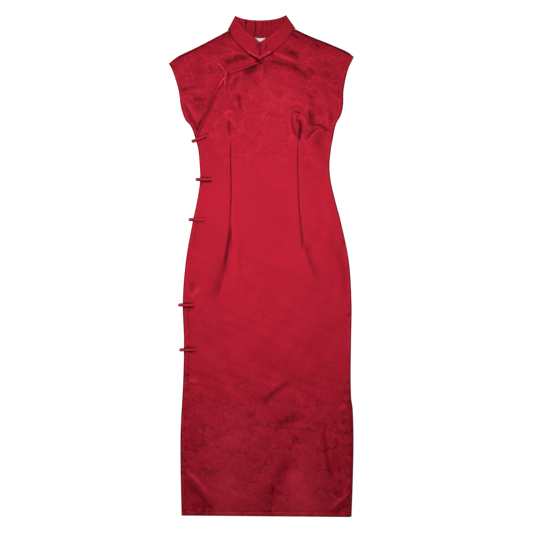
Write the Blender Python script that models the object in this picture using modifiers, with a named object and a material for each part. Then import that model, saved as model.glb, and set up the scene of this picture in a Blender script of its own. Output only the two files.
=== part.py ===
"""Cheongsam dress: a long fitted dress of red jacquard satin, laid flat on its back panel.

X runs across the dress, +Y towards the collar and +Z up from the surface it lies on.
The origin is under the middle of the dress. Tables and sizes are in millimetres.
"""
import math
from collections import namedtuple

import bmesh
import bpy
from mathutils import Vector

MM = 0.001

# Walls of the cloth and the gap between sewn or stacked pieces
CLOTH_WALL = 1.2
COLLAR_WALL = 2.0
LABEL_WALL = 1.0
SEAM_GAP = 0.3
OVERLAP_GAP = 0.5

# Landmarks up the middle of the dress
HEM_Y = -636.0
HEM_SLANT = 2.0
HEM_SLANT_FROM_Y = -400.0
UNDERFLAP_FOOT_Y = 300.0
UNDERARM_Y = 322.0
OPENING_BEND_Y = 478.0
NECK_PIT_Y = 522.0
NECK_PIT_X = -3.0
BACK_NECK_Y = 580.0
LEFT_TIP_Y = 516.0
RIGHT_TIP_Y = 533.0
LEFT_NECK_POINT = (-84.0, 599.0)
RIGHT_NECK_POINT = (86.0, 602.5)

Width = namedtuple("Width", "y left right")
Edge = namedtuple("Edge", "y x")
Rise = namedtuple("Rise", "y height")
Fold = namedtuple("Fold", "x0 y0 x1 y1 half_width height")
Band = namedtuple("Band", "share x y")
FrontFrog = namedtuple("FrontFrog", "name x y strip_angle loop_angle")
SideFrog = namedtuple("SideFrog", "name y strip_angle")

# Side seams from the hem to the underarms
SIDE_SEAMS = [
    Width(-638, -203, 227),
    Width(-520, -205.5, 231),
    Width(-420, -205.5, 232),
    Width(-290, -199, 228),
    Width(-190, -197, 229),
    Width(-90, -200, 230),
    Width(15, -192, 223),
    Width(117, -174, 202),
    Width(170, -163, 188),
    Width(219, -156, 177),
    Width(258, -157, 174),
    Width(300, -161, 178),
    Width(322, -167, 182),
]

# The open edges of the cap sleeves, underarm to sleeve tip
LEFT_SLEEVE = [
    Edge(322, -167), Edge(347, -175), Edge(360, -182), Edge(372, -193), Edge(403, -204),
    Edge(449, -211), Edge(500, -227), Edge(516, -236),
]
RIGHT_SLEEVE = [
    Edge(322, 182), Edge(360, 190), Edge(385, 203), Edge(410, 208.5), Edge(449, 210),
    Edge(500, 221), Edge(533, 236),
]

# Shoulders, sleeve tip to the side of the neck
LEFT_SHOULDER = [
    Edge(516, -236), Edge(535.5, -210), Edge(556, -167.5), Edge(586.5, -109), Edge(599, -86),
]
RIGHT_SHOULDER = [
    Edge(533, 236), Edge(546, 219), Edge(566, 174), Edge(586.5, 123), Edge(602.5, 89),
]

# Front neckline, from the pit of the neck to its sides
LEFT_NECKLINE = [Edge(522, -3), Edge(546, -38), Edge(574, -67), Edge(599, -84)]
RIGHT_NECKLINE = [Edge(522, -3), Edge(537, 18), Edge(549, 35), Edge(569, 58), Edge(602.5, 86)]

# The curved edge of the big front flap, underarm to the pit of the neck
OPENING_EDGE = [
    Edge(322, -167), Edge(342, -162), Edge(389, -143), Edge(454, -112), Edge(478, -97),
    Edge(493, -80), Edge(510, -35), Edge(522, -3),
]

# The hidden inner edge of the small flap under it
UNDERFLAP_EDGE = [Edge(300, -118), Edge(420, -62), Edge(480, -25), Edge(522, -3)]

# The two dart lines, carried on to the hem and the shoulder as guide lines for the mesh
DART_LINES = [
    Width(-638, -70, 95),
    Width(-200, -78, 98),
    Width(-41, -100, 110),
    Width(66, -84, 106),
    Width(168, -77, 96),
    Width(352, -76, 94),
    Width(423, -58, 100),
    Width(478, -20, 108),
    Width(510, 22, 116),
    Width(533, 52, 126),
    Width(602.5, 87, 88),
]
DART_FOOT_Y = 66.0
DART_TOP_Y = 352.0
DART_DEPTH = 0.9
DART_HALF_WIDTH = 9.0

# How far the front stands off the back in the middle of its width
CROWN = [Rise(-638, 0.9), Rise(-300, 1.6), Rise(0, 1.9), Rise(219, 1.2), Rise(380, 1.8), Rise(600, 0.8)]
NECK_RISE = 1.0
NECK_RISE_REACH = 45.0
UNDERFLAP_SHOULDER = 30.0
UNDERFLAP_MARGIN = 12.0

# The largest folds of the front: ridges stand up, troughs have a minus height
FRONT_FOLDS = [
    Fold(-82, 92, -103, -45, 9, -1.6),
    Fold(-62, 75, -82, -60, 13, 1.1),
    Fold(109, 80, 139, 5, 8, -1.3),
    Fold(93, 60, 112, -20, 10, 0.9),
    Fold(99, 374, 97, 318, 5, -1.9),
    Fold(86, 402, 92, 350, 12, 1.4),
    Fold(108, 398, 106, 352, 11, 1.3),
    Fold(181, 343, 138, 362, 6, -1.2),
    Fold(155, 349, 112, 318, 10, 1.2),
    Fold(-161, 338, -126, 352, 7, 0.9),
    Fold(-86, 400, -78, 350, 14, 1.3),
    Fold(-51, 500, -81, 461, 8, 0.9),
    Fold(-58, 428, -55, 396, 6, -1.0),
    Fold(72, -291, 3, -347, 14, -1.2),
    Fold(50, -330, 110, -300, 20, 0.8),
    Fold(41, -538, 23, -622, 11, -1.0),
    Fold(100, -500, 98, -600, 24, 0.9),
    Fold(164, -440, 164, -533, 10, -1.2),
    Fold(-187, -538, -142, -576, 9, 1.2),
    Fold(-172, -560, -130, -604, 12, -0.9),
    Fold(188, -612, 221, -584, 9, -0.9),
    Fold(-192, -289, -164, -301, 6, 1.0),
]
UNDERFLAP_FOLDS = [
    Fold(-184, 372, -158, 330, 6, 1.0),
    Fold(-168, 374, -150, 344, 6, -1.0),
    Fold(-190, 442, -150, 400, 14, 1.0),
    Fold(-196, 480, -150, 462, 12, 0.7),
    Fold(-120, 545, -80, 520, 12, 0.8),
]

# The back panel shows a little past the front beside the right slit
SLIT_TOP_Y = -310.0
SLIT_REVEAL = 3.0

# Upper edge of the stand collar: the share of the way round each part, and its place
COLLAR_TOP_RIGHT = [
    Band(0.0, -2, 570), Band(0.2, 12, 580), Band(0.42, 28, 592), Band(0.62, 42, 604),
    Band(0.82, 53, 618), Band(1.0, 61, 638),
]
COLLAR_TOP_LEFT = [
    Band(0.0, -4, 570), Band(0.2, -17, 581), Band(0.42, -31, 591), Band(0.62, -43, 601),
    Band(0.82, -53, 616), Band(1.0, -64, 636.5),
]
COLLAR_TOP_BACK = [
    Band(0.0, 61, 638), Band(0.15, 42, 631), Band(0.3, 23, 627.5), Band(0.5, 0, 626),
    Band(0.7, -25, 627), Band(0.86, -45, 630), Band(1.0, -64, 636.5),
]
COLLAR_FRONT_Z = 4.4
COLLAR_BACK_Z = 1.0
COLLAR_CROWN = 0.9
COLLAR_CREST = 0.4
COLLAR_SLIT = 0.8
COLLAR_SEAM_GAP = 0.8
COLLAR_BUCKLES_X = (-38, -14, 9)
COLLAR_BUCKLE_HEIGHT = 0.8
COLLAR_BUCKLE_HALF_WIDTH = 3.0
NECK_STEPS = 13
BACK_NECK_STEPS = 7
COLLAR_ACROSS = 4
FOLD_STEPS = 6

LABEL_WIDTH = 46.0
LABEL_DEPTH = 18.0

# Frogs: knotted ball buttons of satin cord, each with a strip that is sewn down and
# carries the ball, and a loop. Angles are those of the strips, outwards from the ball
CORD_RADIUS = 1.7
CORD_SPACING = 1.9
CORD_STEPS = 7
CORD_STEP = 4.5
STRIP_LENGTH = 27.0
BALL_RADIUS = 4.4
BALL_LENGTH = 1.15
FRONT_FROGS = [
    FrontFrog("frog_neck", -4, 529, 29, 151),
    FrontFrog("frog_chest", -88.5, 492, -96, 131),
]

# Side frogs: the ball stands off the seam, on a loop that is sewn to the back's edge
BALL_OFF_EDGE = 6.5
EYE_CORD_RADIUS = 1.4
EYE_HALF_WIDTH = 3.0
EYE_START = 0.65
SIDE_FROGS = [
    SideFrog("frog_underarm", 321, 23),
    SideFrog("frog_waist", 221, 0),
    SideFrog("frog_hip", 119, 0),
    SideFrog("frog_thigh", -98, 0),
    SideFrog("frog_slit", -212, 0),
]

SATIN_RED = (0.45, 0.014, 0.033, 1.0)
CORD_RED = (0.30, 0.010, 0.022, 1.0)
LABEL_WHITE = (0.85, 0.84, 0.82, 1.0)


def clear_scene():
    for item in list(bpy.data.objects):
        bpy.data.objects.remove(item, do_unlink=True)


def make_collection(name):
    group = bpy.data.collections.new(name)
    bpy.context.scene.collection.children.link(group)
    return group


def make_material(name, colour, roughness):
    material = bpy.data.materials.new(name)
    material.use_nodes = True
    shader = material.node_tree.nodes["Principled BSDF"]
    shader.inputs["Base Color"].default_value = colour
    shader.inputs["Roughness"].default_value = roughness
    shader.inputs["Metallic"].default_value = 0.0
    return material


# Curves and blends

def smooth_curve(points, at):
    """A smooth curve through (position, value) points, straight past both ends."""
    last = len(points) - 1
    place = max(0, min(last - 1, sum(1 for p in points[1:] if p[0] <= at)))
    (t0, v0), (t1, v1) = points[place], points[place + 1]

    def slope(index):
        before = points[max(0, index - 1)]
        after = points[min(last, index + 1)]
        return (after[1] - before[1]) / (after[0] - before[0])

    span = t1 - t0
    u = max(0.0, min(1.0, (at - t0) / span))
    m0, m1 = slope(place) * span, slope(place + 1) * span
    return (
        (2 * u ** 3 - 3 * u ** 2 + 1) * v0 + (u ** 3 - 2 * u ** 2 + u) * m0
        + (3 * u ** 2 - 2 * u ** 3) * v1 + (u ** 3 - u ** 2) * m1
    )


def edge_x(edge, y):
    return smooth_curve([(p.y, p.x) for p in edge], y)


def band_point(edge, share):
    x = smooth_curve([(p.share, p.x) for p in edge], share)
    y = smooth_curve([(p.share, p.y) for p in edge], share)
    return x, y


def ease(value):
    value = max(0.0, min(1.0, value))
    return value * value * (3 - 2 * value)


def divide(start, end, steps):
    return [start + (end - start) * i / steps for i in range(steps)]


# The outline

def outer_left(y):
    if y <= UNDERARM_Y:
        return smooth_curve([(p.y, p.left) for p in SIDE_SEAMS], y)
    return edge_x(LEFT_SLEEVE if y <= LEFT_TIP_Y else LEFT_SHOULDER, y)


def outer_right(y):
    if y <= UNDERARM_Y:
        return smooth_curve([(p.y, p.right) for p in SIDE_SEAMS], y)
    return edge_x(RIGHT_SLEEVE if y <= RIGHT_TIP_Y else RIGHT_SHOULDER, y)


def flap_left(y):
    """The left edge of the front: side seam, opening edge, then the right neckline."""
    if y <= UNDERARM_Y:
        return outer_left(y)
    return edge_x(OPENING_EDGE if y <= NECK_PIT_Y else RIGHT_NECKLINE, y)


def underflap_right(y):
    return edge_x(UNDERFLAP_EDGE if y <= NECK_PIT_Y else LEFT_NECKLINE, y)


def back_neck_y(x):
    side_x, side_y = RIGHT_NECK_POINT if x > 0 else LEFT_NECK_POINT
    return BACK_NECK_Y + (side_y - BACK_NECK_Y) * (x / side_x) ** 2


def back_inner(y, neck_point):
    """The back is cut on a fold, so its halves meet on the middle line below the neck."""
    if y <= BACK_NECK_Y:
        return 0.0
    return neck_point[0] * math.sqrt((y - BACK_NECK_Y) / (neck_point[1] - BACK_NECK_Y))


def slanted(x, y):
    """The hem hangs a little lower on the right."""
    below = max(0.0, (HEM_SLANT_FROM_Y - y) / (HEM_SLANT_FROM_Y - HEM_Y))
    return y - HEM_SLANT * (x / SIDE_SEAMS[0].right) * below ** 2


# Heights of the cloth

def fold_height(folds, x, y):
    total = 0.0
    for fold in folds:
        run = Vector((fold.x1 - fold.x0, fold.y1 - fold.y0))
        reach = Vector((x - fold.x0, y - fold.y0))
        along = max(0.0, min(1.0, reach.dot(run) / run.length_squared))
        away = (reach - run * along).length / fold.half_width
        total += fold.height * math.exp(-away * away) * (0.55 + 0.45 * math.sin(math.pi * along))
    return total


def crown_height(x, y):
    left, right = outer_left(y), outer_right(y)
    across = max(0.0, min(1.0, (x - left) / max(1.0, right - left)))
    middle = smooth_curve([(p.y, p.height) for p in CROWN], y)
    return middle * min(1.0, 5.0 * across * (1.0 - across))


def neck_height(x, y):
    neck_x = LEFT_NECKLINE if x < NECK_PIT_X else RIGHT_NECKLINE
    away = min(math.hypot(x - p.x, y - p.y) for p in neck_x)
    return NECK_RISE * ease(1.0 - away / NECK_RISE_REACH)


def dart_height(x, y):
    total = 0.0
    inside = ease((y - DART_FOOT_Y) / 40.0) * ease((DART_TOP_Y + 25.0 - y) / 40.0)
    for side in ("left", "right"):
        line = smooth_curve([(p.y, getattr(p, side)) for p in DART_LINES], y)
        total -= DART_DEPTH * inside * math.exp(-((x - line) / (0.55 * DART_HALF_WIDTH)) ** 2)
    return total


def underflap_floor(x, y):
    """The underside of the small flap, which lies on the back panel."""
    loose = crown_height(x, y) * 0.6 + fold_height(UNDERFLAP_FOLDS, x, y)
    return CLOTH_WALL + SEAM_GAP + neck_height(x, y) + max(0.0, loose)


def flap_lift(x, y):
    """1 where the front lies on the small flap, fading to 0 beside it and below its foot."""
    edge = underflap_right(min(max(y, UNDERFLAP_FOOT_Y), NECK_PIT_Y))
    beside = ease((edge + UNDERFLAP_MARGIN + UNDERFLAP_SHOULDER - x) / UNDERFLAP_SHOULDER)
    above = ease((y - UNDERFLAP_FOOT_Y + UNDERFLAP_MARGIN + UNDERFLAP_SHOULDER) / UNDERFLAP_SHOULDER)
    return beside * above


def front_floor(x, y):
    """The underside of the front, which rises over the small flap under it."""
    lift = flap_lift(x, y)
    under_it = CLOTH_WALL + OVERLAP_GAP + max(0.0, fold_height(UNDERFLAP_FOLDS, x, y))
    loose = crown_height(x, y) + fold_height(FRONT_FOLDS, x, y) + dart_height(x, y)
    loose = max(loose, 0.6 * crown_height(x, y) * lift)
    return CLOTH_WALL + SEAM_GAP + neck_height(x, y) + lift * under_it + max(0.0, loose)


def cloth_top(x, y):
    """The top of whichever front piece shows at a point, or of the bare back panel."""
    if flap_left(y) <= x <= outer_right(y):
        return front_floor(x, y) + CLOTH_WALL
    if outer_left(y) <= x <= underflap_right(y) and y > UNDERFLAP_FOOT_Y:
        return underflap_floor(x, y) + CLOTH_WALL
    return CLOTH_WALL


# Building sheets

def grid_mesh(rows):
    """An open sheet from rows of points, each row with the same number of points."""
    sheet = bmesh.new()
    grid = [[sheet.verts.new(Vector(p) * MM) for p in row] for row in rows]
    for lower, upper in zip(grid, grid[1:]):
        for i in range(len(lower) - 1):
            sheet.faces.new((lower[i], lower[i + 1], upper[i + 1], upper[i]))
    return sheet


def finish_sheet(name, sheet, wall, offset, material, group):
    bmesh.ops.remove_doubles(sheet, verts=sheet.verts, dist=0.01 * MM)
    mesh = bpy.data.meshes.new(name)
    sheet.to_mesh(mesh)
    sheet.free()
    piece = bpy.data.objects.new(name, mesh)
    group.objects.link(piece)
    mesh.materials.append(material)
    thicken = piece.modifiers.new("wall", "SOLIDIFY")
    thicken.thickness = wall * MM
    thicken.offset = offset
    return piece


def spread(left, right, steps):
    return [left + (right - left) * i / steps for i in range(steps + 1)]


def front_row(y):
    """Points across the front, gathered beside the two dart lines."""
    left, right = flap_left(y), outer_right(y)
    near = min(DART_HALF_WIDTH, 0.06 * (right - left))
    first = smooth_curve([(p.y, p.left) for p in DART_LINES], y)
    second = smooth_curve([(p.y, p.right) for p in DART_LINES], y)
    first = max(first, left + 0.2 * (right - left))
    second = min(max(second, first + 0.2 * (right - left)), right - 0.2 * (right - left))
    across = spread(left, first - near, 4) + [first] + spread(first + near, second - near, 6)
    across += [second] + spread(second + near, right, 4)
    return [(x, slanted(x, y), front_floor(x, y)) for x in across]


def right_neck_stations():
    """Heights up the right of the neckline, one of them at the sleeve's tip."""
    return divide(NECK_PIT_Y, RIGHT_TIP_Y, 2) + spread(RIGHT_TIP_Y, RIGHT_NECK_POINT[1], NECK_STEPS - 2)


def left_neck_stations():
    return spread(NECK_PIT_Y, LEFT_NECK_POINT[1], NECK_STEPS)


def front_stations():
    return (
        divide(HEM_Y, UNDERARM_Y, 36)
        + divide(UNDERARM_Y, OPENING_BEND_Y, 12)
        + divide(OPENING_BEND_Y, NECK_PIT_Y, 7)
        + right_neck_stations()
    )


def build_front(material, group):
    rows = [front_row(y) for y in front_stations()]
    return finish_sheet("front_panel", grid_mesh(rows), CLOTH_WALL, 1.0, material, group)


def build_underflap(material, group):
    stations = (
        divide(UNDERFLAP_FOOT_Y, UNDERARM_Y, 2)
        + divide(UNDERARM_Y, LEFT_TIP_Y, 14)
        + [LEFT_TIP_Y]
        + left_neck_stations()
    )
    rows = []
    for y in stations:
        across = spread(outer_left(y), underflap_right(y), 9)
        rows.append([(x, y, underflap_floor(x, y)) for x in across])
    sheet = grid_mesh(rows)
    return finish_sheet("front_underflap", sheet, CLOTH_WALL, 1.0, material, group)


def back_half(neck_point, outer, tip_y):
    """Rows from the middle line out to one side, up to that side of the neck."""
    neck_rise = neck_point[1] - BACK_NECK_Y
    stations = divide(HEM_Y, UNDERARM_Y, 30) + divide(UNDERARM_Y, tip_y, 11) + divide(tip_y, BACK_NECK_Y, 4)
    stations += [BACK_NECK_Y + neck_rise * (i / BACK_NECK_STEPS) ** 2 for i in range(BACK_NECK_STEPS + 1)]
    rows = []
    for y in stations:
        reveal = SLIT_REVEAL * ease((SLIT_TOP_Y - y) / 60.0) if outer is outer_right else 0.0
        across = spread(back_inner(y, neck_point), outer(y) + reveal, 2)
        rows.append([(x, slanted(x, y), 0.0) for x in sorted(across)])
    return rows


def build_back(material, group):
    sheet = bmesh.new()
    left = back_half(LEFT_NECK_POINT, outer_left, LEFT_TIP_Y)
    right = back_half(RIGHT_NECK_POINT, outer_right, RIGHT_TIP_Y)
    for rows in (left, right):
        half = grid_mesh(rows)
        copy = bpy.data.meshes.new("back_half")
        half.to_mesh(copy)
        half.free()
        sheet.from_mesh(copy)
        bpy.data.meshes.remove(copy)
    return finish_sheet("back_panel", sheet, CLOTH_WALL, 1.0, material, group)


# The collar

def collar_section(lower, upper, z, swell, sideways=(0.0, 0.0)):
    """Points up the band at one place round it, clear of the neck seam."""
    run = Vector((upper[0] - lower[0], upper[1] - lower[1]))
    start = Vector(lower) + run.normalized() * COLLAR_SEAM_GAP
    points = []
    for i in range(COLLAR_ACROSS + 1):
        share = i / COLLAR_ACROSS
        place = start + (Vector(upper) - start) * share + Vector(sideways)
        points.append((place.x, place.y, z + swell(place.x, share)))
    return points


def front_collar(neckline, stations, top_edge, slit_side):
    """One front half of the collar, from the slit to the side of the neck."""
    sections = []
    for y in stations:
        share = (y - NECK_PIT_Y) / (stations[-1] - NECK_PIT_Y)
        shift = slit_side * 0.5 * COLLAR_SLIT * (1.0 - share)
        upper = band_point(top_edge, share)
        crown = COLLAR_CROWN * math.sin(math.pi * share)
        sections.append(collar_section(
            (edge_x(neckline, y) + shift, y), (upper[0] + shift, upper[1]), COLLAR_FRONT_Z,
            lambda x, v, crown=crown: crown * math.sin(math.pi * 0.5 * v),
        ))
    return sections


def collar_fold(neck_point, top_corner, outward):
    """The soft fold at the side of the neck, from the front half down to the back."""
    run = Vector((top_corner[0] - neck_point[0], top_corner[1] - neck_point[1])).normalized()
    side = Vector((run.y, -run.x)) * outward
    radius = 0.5 * (COLLAR_FRONT_Z - COLLAR_BACK_Z)
    middle = 0.5 * (COLLAR_FRONT_Z + COLLAR_BACK_Z)
    sections = []
    for i in range(1, FOLD_STEPS):
        angle = math.pi * i / FOLD_STEPS
        sideways = side * radius * math.sin(angle)
        z = middle + radius * math.cos(angle)
        sections.append(collar_section(neck_point, top_corner, z, lambda x, v: 0.0, sideways))
    return sections


def back_collar():
    """The back of the collar, right to left, buckled where it is pressed flat."""
    def buckles(x, share):
        waves = sum(math.exp(-((x - b) / COLLAR_BUCKLE_HALF_WIDTH) ** 2) for b in COLLAR_BUCKLES_X)
        return COLLAR_BUCKLE_HEIGHT * waves * ease((share - 0.35) / 0.4)

    sections = []
    neck = [RIGHT_NECK_POINT[0] * (1.0 - i / BACK_NECK_STEPS) for i in range(BACK_NECK_STEPS)]
    neck += [LEFT_NECK_POINT[0] * i / BACK_NECK_STEPS for i in range(BACK_NECK_STEPS + 1)]
    fine = []
    for start, end in zip(neck, neck[1:]):
        fine += divide(start, end, 3)
    fine.append(neck[-1])
    for i, x in enumerate(fine):
        index = min(len(neck) - 2, i // 3)
        part = (x - neck[index]) / (neck[index + 1] - neck[index])
        seam_y = back_neck_y(neck[index]) * (1 - part) + back_neck_y(neck[index + 1]) * part
        upper = band_point(COLLAR_TOP_BACK, i / (len(fine) - 1))
        sections.append(collar_section((x, seam_y), upper, COLLAR_BACK_Z, buckles))
    return sections


def build_collar(material, group):
    right = front_collar(RIGHT_NECKLINE, right_neck_stations(), COLLAR_TOP_RIGHT, 1.0)
    left = front_collar(LEFT_NECKLINE, left_neck_stations(), COLLAR_TOP_LEFT, -1.0)
    right_fold = collar_fold(RIGHT_NECK_POINT, band_point(COLLAR_TOP_RIGHT, 1.0), 1.0)
    left_fold = collar_fold(LEFT_NECK_POINT, band_point(COLLAR_TOP_LEFT, 1.0), -1.0)
    sections = right + right_fold + back_collar() + left_fold[::-1] + left[::-1]
    return finish_sheet("collar", grid_mesh(sections), COLLAR_WALL, 0.0, material, group)


def build_label(material, group):
    bpy.ops.mesh.primitive_cube_add(size=1.0)
    label = bpy.context.object
    label.name = "neck_label"
    top = BACK_NECK_Y - SEAM_GAP
    label.scale = (LABEL_WIDTH * MM, LABEL_DEPTH * MM, LABEL_WALL * MM)
    label.location = Vector((
        NECK_PIT_X + 1.0, top - LABEL_DEPTH / 2, CLOTH_WALL + SEAM_GAP + LABEL_WALL / 2,
    )) * MM
    for holder in list(label.users_collection):
        holder.objects.unlink(label)
    group.objects.link(label)
    label.data.materials.append(material)


# Frogs

def seat(x, y, radius, least):
    """The height of a cord's middle, clear of the cloth that is near it."""
    reach = max(radius, CORD_STEP)
    around = [(0, 0), (reach, 0), (-reach, 0), (0, reach), (0, -reach)]
    top = max(cloth_top(x + dx, y + dy) for dx, dy in around)
    return max(least, top) + SEAM_GAP + radius


def cord(name, points, material, group, radius=CORD_RADIUS):
    """A round satin cord through points, as a closed mesh."""
    path = bpy.data.curves.new(name, "CURVE")
    path.dimensions = "3D"
    path.bevel_depth = radius * MM
    path.bevel_resolution = 2
    path.use_fill_caps = True
    line = path.splines.new("POLY")
    line.points.add(len(points) - 1)
    for knot, point in zip(line.points, points):
        knot.co = (*(Vector(point) * MM), 1.0)
    holder = bpy.data.objects.new(name + "_path", path)
    group.objects.link(holder)
    bpy.context.view_layer.update()
    mesh = bpy.data.meshes.new_from_object(holder.evaluated_get(bpy.context.evaluated_depsgraph_get()))
    bpy.data.objects.remove(holder, do_unlink=True)
    welded = bmesh.new()
    welded.from_mesh(mesh)
    bmesh.ops.remove_doubles(welded, verts=welded.verts, dist=0.005 * MM)
    bmesh.ops.recalc_face_normals(welded, faces=welded.faces)
    welded.to_mesh(mesh)
    welded.free()
    piece = bpy.data.objects.new(name, mesh)
    group.objects.link(piece)
    mesh.materials.clear()
    mesh.materials.append(material)
    return piece


def heading(angle):
    return Vector((math.cos(math.radians(angle)), math.sin(math.radians(angle))))


def hairpin(middle, angle, legs, half_width, height_at):
    """Two cords side by side, joined by a half turn past the last of the legs' distances."""
    ahead = heading(angle)
    aside = Vector((-ahead.y, ahead.x))
    turn = legs[-1]
    onward = 1.0 if legs[-1] > legs[0] else -1.0
    plan = [(d, half_width) for d in legs]
    for step in (30, 60, 90, 120, 150):
        swing = math.radians(step)
        plan.append((turn + onward * half_width * math.sin(swing), half_width * math.cos(swing)))
    plan += [(d, -half_width) for d in reversed(legs)]
    points = []
    for along, across in plan:
        place = middle + ahead * along + aside * across
        points.append((place.x, place.y, height_at(place.x, place.y)))
    return points


def build_ball(middle, angle, z, cutters):
    bpy.ops.mesh.primitive_uv_sphere_add(segments=12, ring_count=8, radius=BALL_RADIUS * MM)
    ball = bpy.context.object
    ball.location = Vector((middle.x, middle.y, z)) * MM
    ball.scale = (BALL_LENGTH, 1.0, 1.0)
    ball.rotation_euler = (0.0, 0.0, math.radians(angle))
    for holder in list(ball.users_collection):
        holder.objects.unlink(ball)
    cutters.objects.link(ball)
    ball.hide_render = True
    ball.display_type = "WIRE"
    return ball


def build_knot(name, middle, angle, strip, ball_z, material, group, cutters):
    """The strip that is sewn down, joined to the ball at its end."""
    knot = cord(name + "_knot", strip, material, group)
    join = knot.modifiers.new("ball", "BOOLEAN")
    join.operation = "UNION"
    join.object = build_ball(middle, angle, ball_z, cutters)


def build_front_frog(frog, least, material, group, cutters):
    middle = Vector((frog.x, frog.y))

    def on_cloth(x, y):
        return seat(x, y, CORD_RADIUS, least)

    ball_z = seat(frog.x, frog.y, BALL_RADIUS, least)
    ball_end = BALL_RADIUS * BALL_LENGTH
    legs = spread(0.5 * BALL_RADIUS, ball_end + STRIP_LENGTH - CORD_SPACING, CORD_STEPS)
    strip = hairpin(middle, frog.strip_angle, legs, CORD_SPACING, on_cloth)
    build_knot(frog.name, middle, frog.strip_angle, strip, ball_z, material, group, cutters)
    near = ball_end + SEAM_GAP + CORD_RADIUS + CORD_SPACING
    loop = hairpin(
        middle, frog.loop_angle, spread(ball_end + STRIP_LENGTH, near, CORD_STEPS), CORD_SPACING, on_cloth,
    )
    cord(frog.name + "_loop", loop, material, group)


def build_side_frog(frog, material, group, cutters):
    edge = Vector((outer_left(frog.y), frog.y))
    ahead = heading(frog.strip_angle)
    middle = edge - ahead * BALL_OFF_EDGE
    inside = edge + ahead * BALL_OFF_EDGE
    least = cloth_top(inside.x, inside.y)

    def on_cloth(x, y):
        return seat(x, y, CORD_RADIUS, least)

    eye_z = SEAM_GAP + EYE_CORD_RADIUS
    clear = BALL_RADIUS * BALL_LENGTH + EYE_CORD_RADIUS + SEAM_GAP
    ball_z = eye_z + math.sqrt(clear ** 2 - EYE_HALF_WIDTH ** 2)
    legs = spread(0.5 * BALL_RADIUS, BALL_OFF_EDGE + STRIP_LENGTH - CORD_SPACING, 4)
    strip = hairpin(middle, frog.strip_angle, legs, CORD_SPACING, on_cloth)
    build_knot(frog.name, middle, frog.strip_angle, strip, ball_z, material, group, cutters)
    eye = hairpin(
        edge, frog.strip_angle + 180, spread(SEAM_GAP + EYE_START, BALL_OFF_EDGE, 2),
        EYE_HALF_WIDTH, lambda x, y: eye_z,
    )
    cord(frog.name + "_loop", eye, material, group, EYE_CORD_RADIUS)


def build_dress():
    clear_scene()
    dress = make_collection("cheongsam_dress")
    satin = make_material("red_jacquard_satin", SATIN_RED, 0.42)
    build_back(satin, dress)
    build_underflap(make_material("underflap_satin", SATIN_RED, 0.42), dress)
    build_front(make_material("front_satin", SATIN_RED, 0.42), dress)
    build_collar(make_material("collar_satin", SATIN_RED, 0.42), dress)
    build_label(make_material("blank_label", LABEL_WHITE, 0.8), dress)
    helpers = make_collection("frog_balls")
    corded = make_material("satin_cord", CORD_RED, 0.5)
    collar_top = COLLAR_FRONT_Z + COLLAR_WALL / 2 + COLLAR_CREST
    for frog in FRONT_FROGS:
        least = collar_top if frog.y > NECK_PIT_Y else 0.0
        build_front_frog(frog, least, corded, dress, helpers)
    for frog in SIDE_FROGS:
        build_side_frog(frog, corded, dress, helpers)


build_dress()
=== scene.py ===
"""Looks of the cheongsam dress: thin cloth shells with their creases, knotted frogs,
stitches and procedural satin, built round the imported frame. Tables are in millimetres."""
import math
from collections import namedtuple

import bmesh
import bpy
import numpy as np
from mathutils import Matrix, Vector


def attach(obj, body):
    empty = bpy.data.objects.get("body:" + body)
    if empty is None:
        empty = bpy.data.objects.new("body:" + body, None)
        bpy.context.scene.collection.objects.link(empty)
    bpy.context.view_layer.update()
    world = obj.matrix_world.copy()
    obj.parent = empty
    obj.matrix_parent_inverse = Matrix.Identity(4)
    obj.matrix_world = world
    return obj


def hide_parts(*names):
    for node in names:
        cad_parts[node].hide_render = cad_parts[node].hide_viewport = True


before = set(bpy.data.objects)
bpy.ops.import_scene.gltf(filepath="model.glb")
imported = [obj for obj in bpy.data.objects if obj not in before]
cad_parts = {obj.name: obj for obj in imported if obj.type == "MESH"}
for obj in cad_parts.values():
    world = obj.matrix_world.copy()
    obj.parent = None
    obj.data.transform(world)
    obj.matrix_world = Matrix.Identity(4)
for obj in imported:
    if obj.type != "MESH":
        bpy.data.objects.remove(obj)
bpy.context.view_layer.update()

MM = 0.001

# Walls, gaps and landmarks of the solids
SHELL_WALL = 1.0
CLOTH_WALL = 1.2
COLLAR_WALL = 1.8
SEAM_GAP = 0.3
OVERLAP_GAP = 0.5
SEAM_Z = 1.05
EDGE_ROLL = 4.0
BACK_INSET = 2.2
HEM_Y = -636.0
HEM_SLANT = 2.0
HEM_SLANT_FROM_Y = -400.0
UNDERFLAP_FOOT_Y = 300.0
UNDERARM_Y = 322.0
NECK_PIT_Y = 522.0
NECK_PIT_X = -3.0
BACK_NECK_Y = 580.0
LEFT_TIP_Y = 516.0
RIGHT_TIP_Y = 533.0
LEFT_NECK_POINT = (-84.0, 599.0)
RIGHT_NECK_POINT = (86.0, 602.5)

# How far inside each turned edge its hidden stitches lie, and the painted shade of its dimples at the
# slits
SLEEVE_HEM = 12.0
BOTTOM_HEM = 12.0
LEFT_SLIT_HEM = 11.0
RIGHT_SLIT_HEM = 9.0
LEFT_SLIT_DIMPLES = 11.5
RIGHT_SLIT_DIMPLES = 6.5
LEFT_HEM_TOP_Y = -60.0

# Each hem is uneven in its own way
LEFT_SLIT_SEED = 0.0
RIGHT_SLIT_SEED = 1.0
BOTTOM_SEED = 2.0
RIGHT_SLEEVE_SEED = 3.0
LEFT_SLEEVE_SEED = 0.4

# The grid that the height of the cloth is read from
MAP_STEP = 1.5
MAP_LEFT = -240.0
MAP_RIGHT = 240.1
MAP_FOOT = -640.0
MAP_TOP = 606.1

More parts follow.
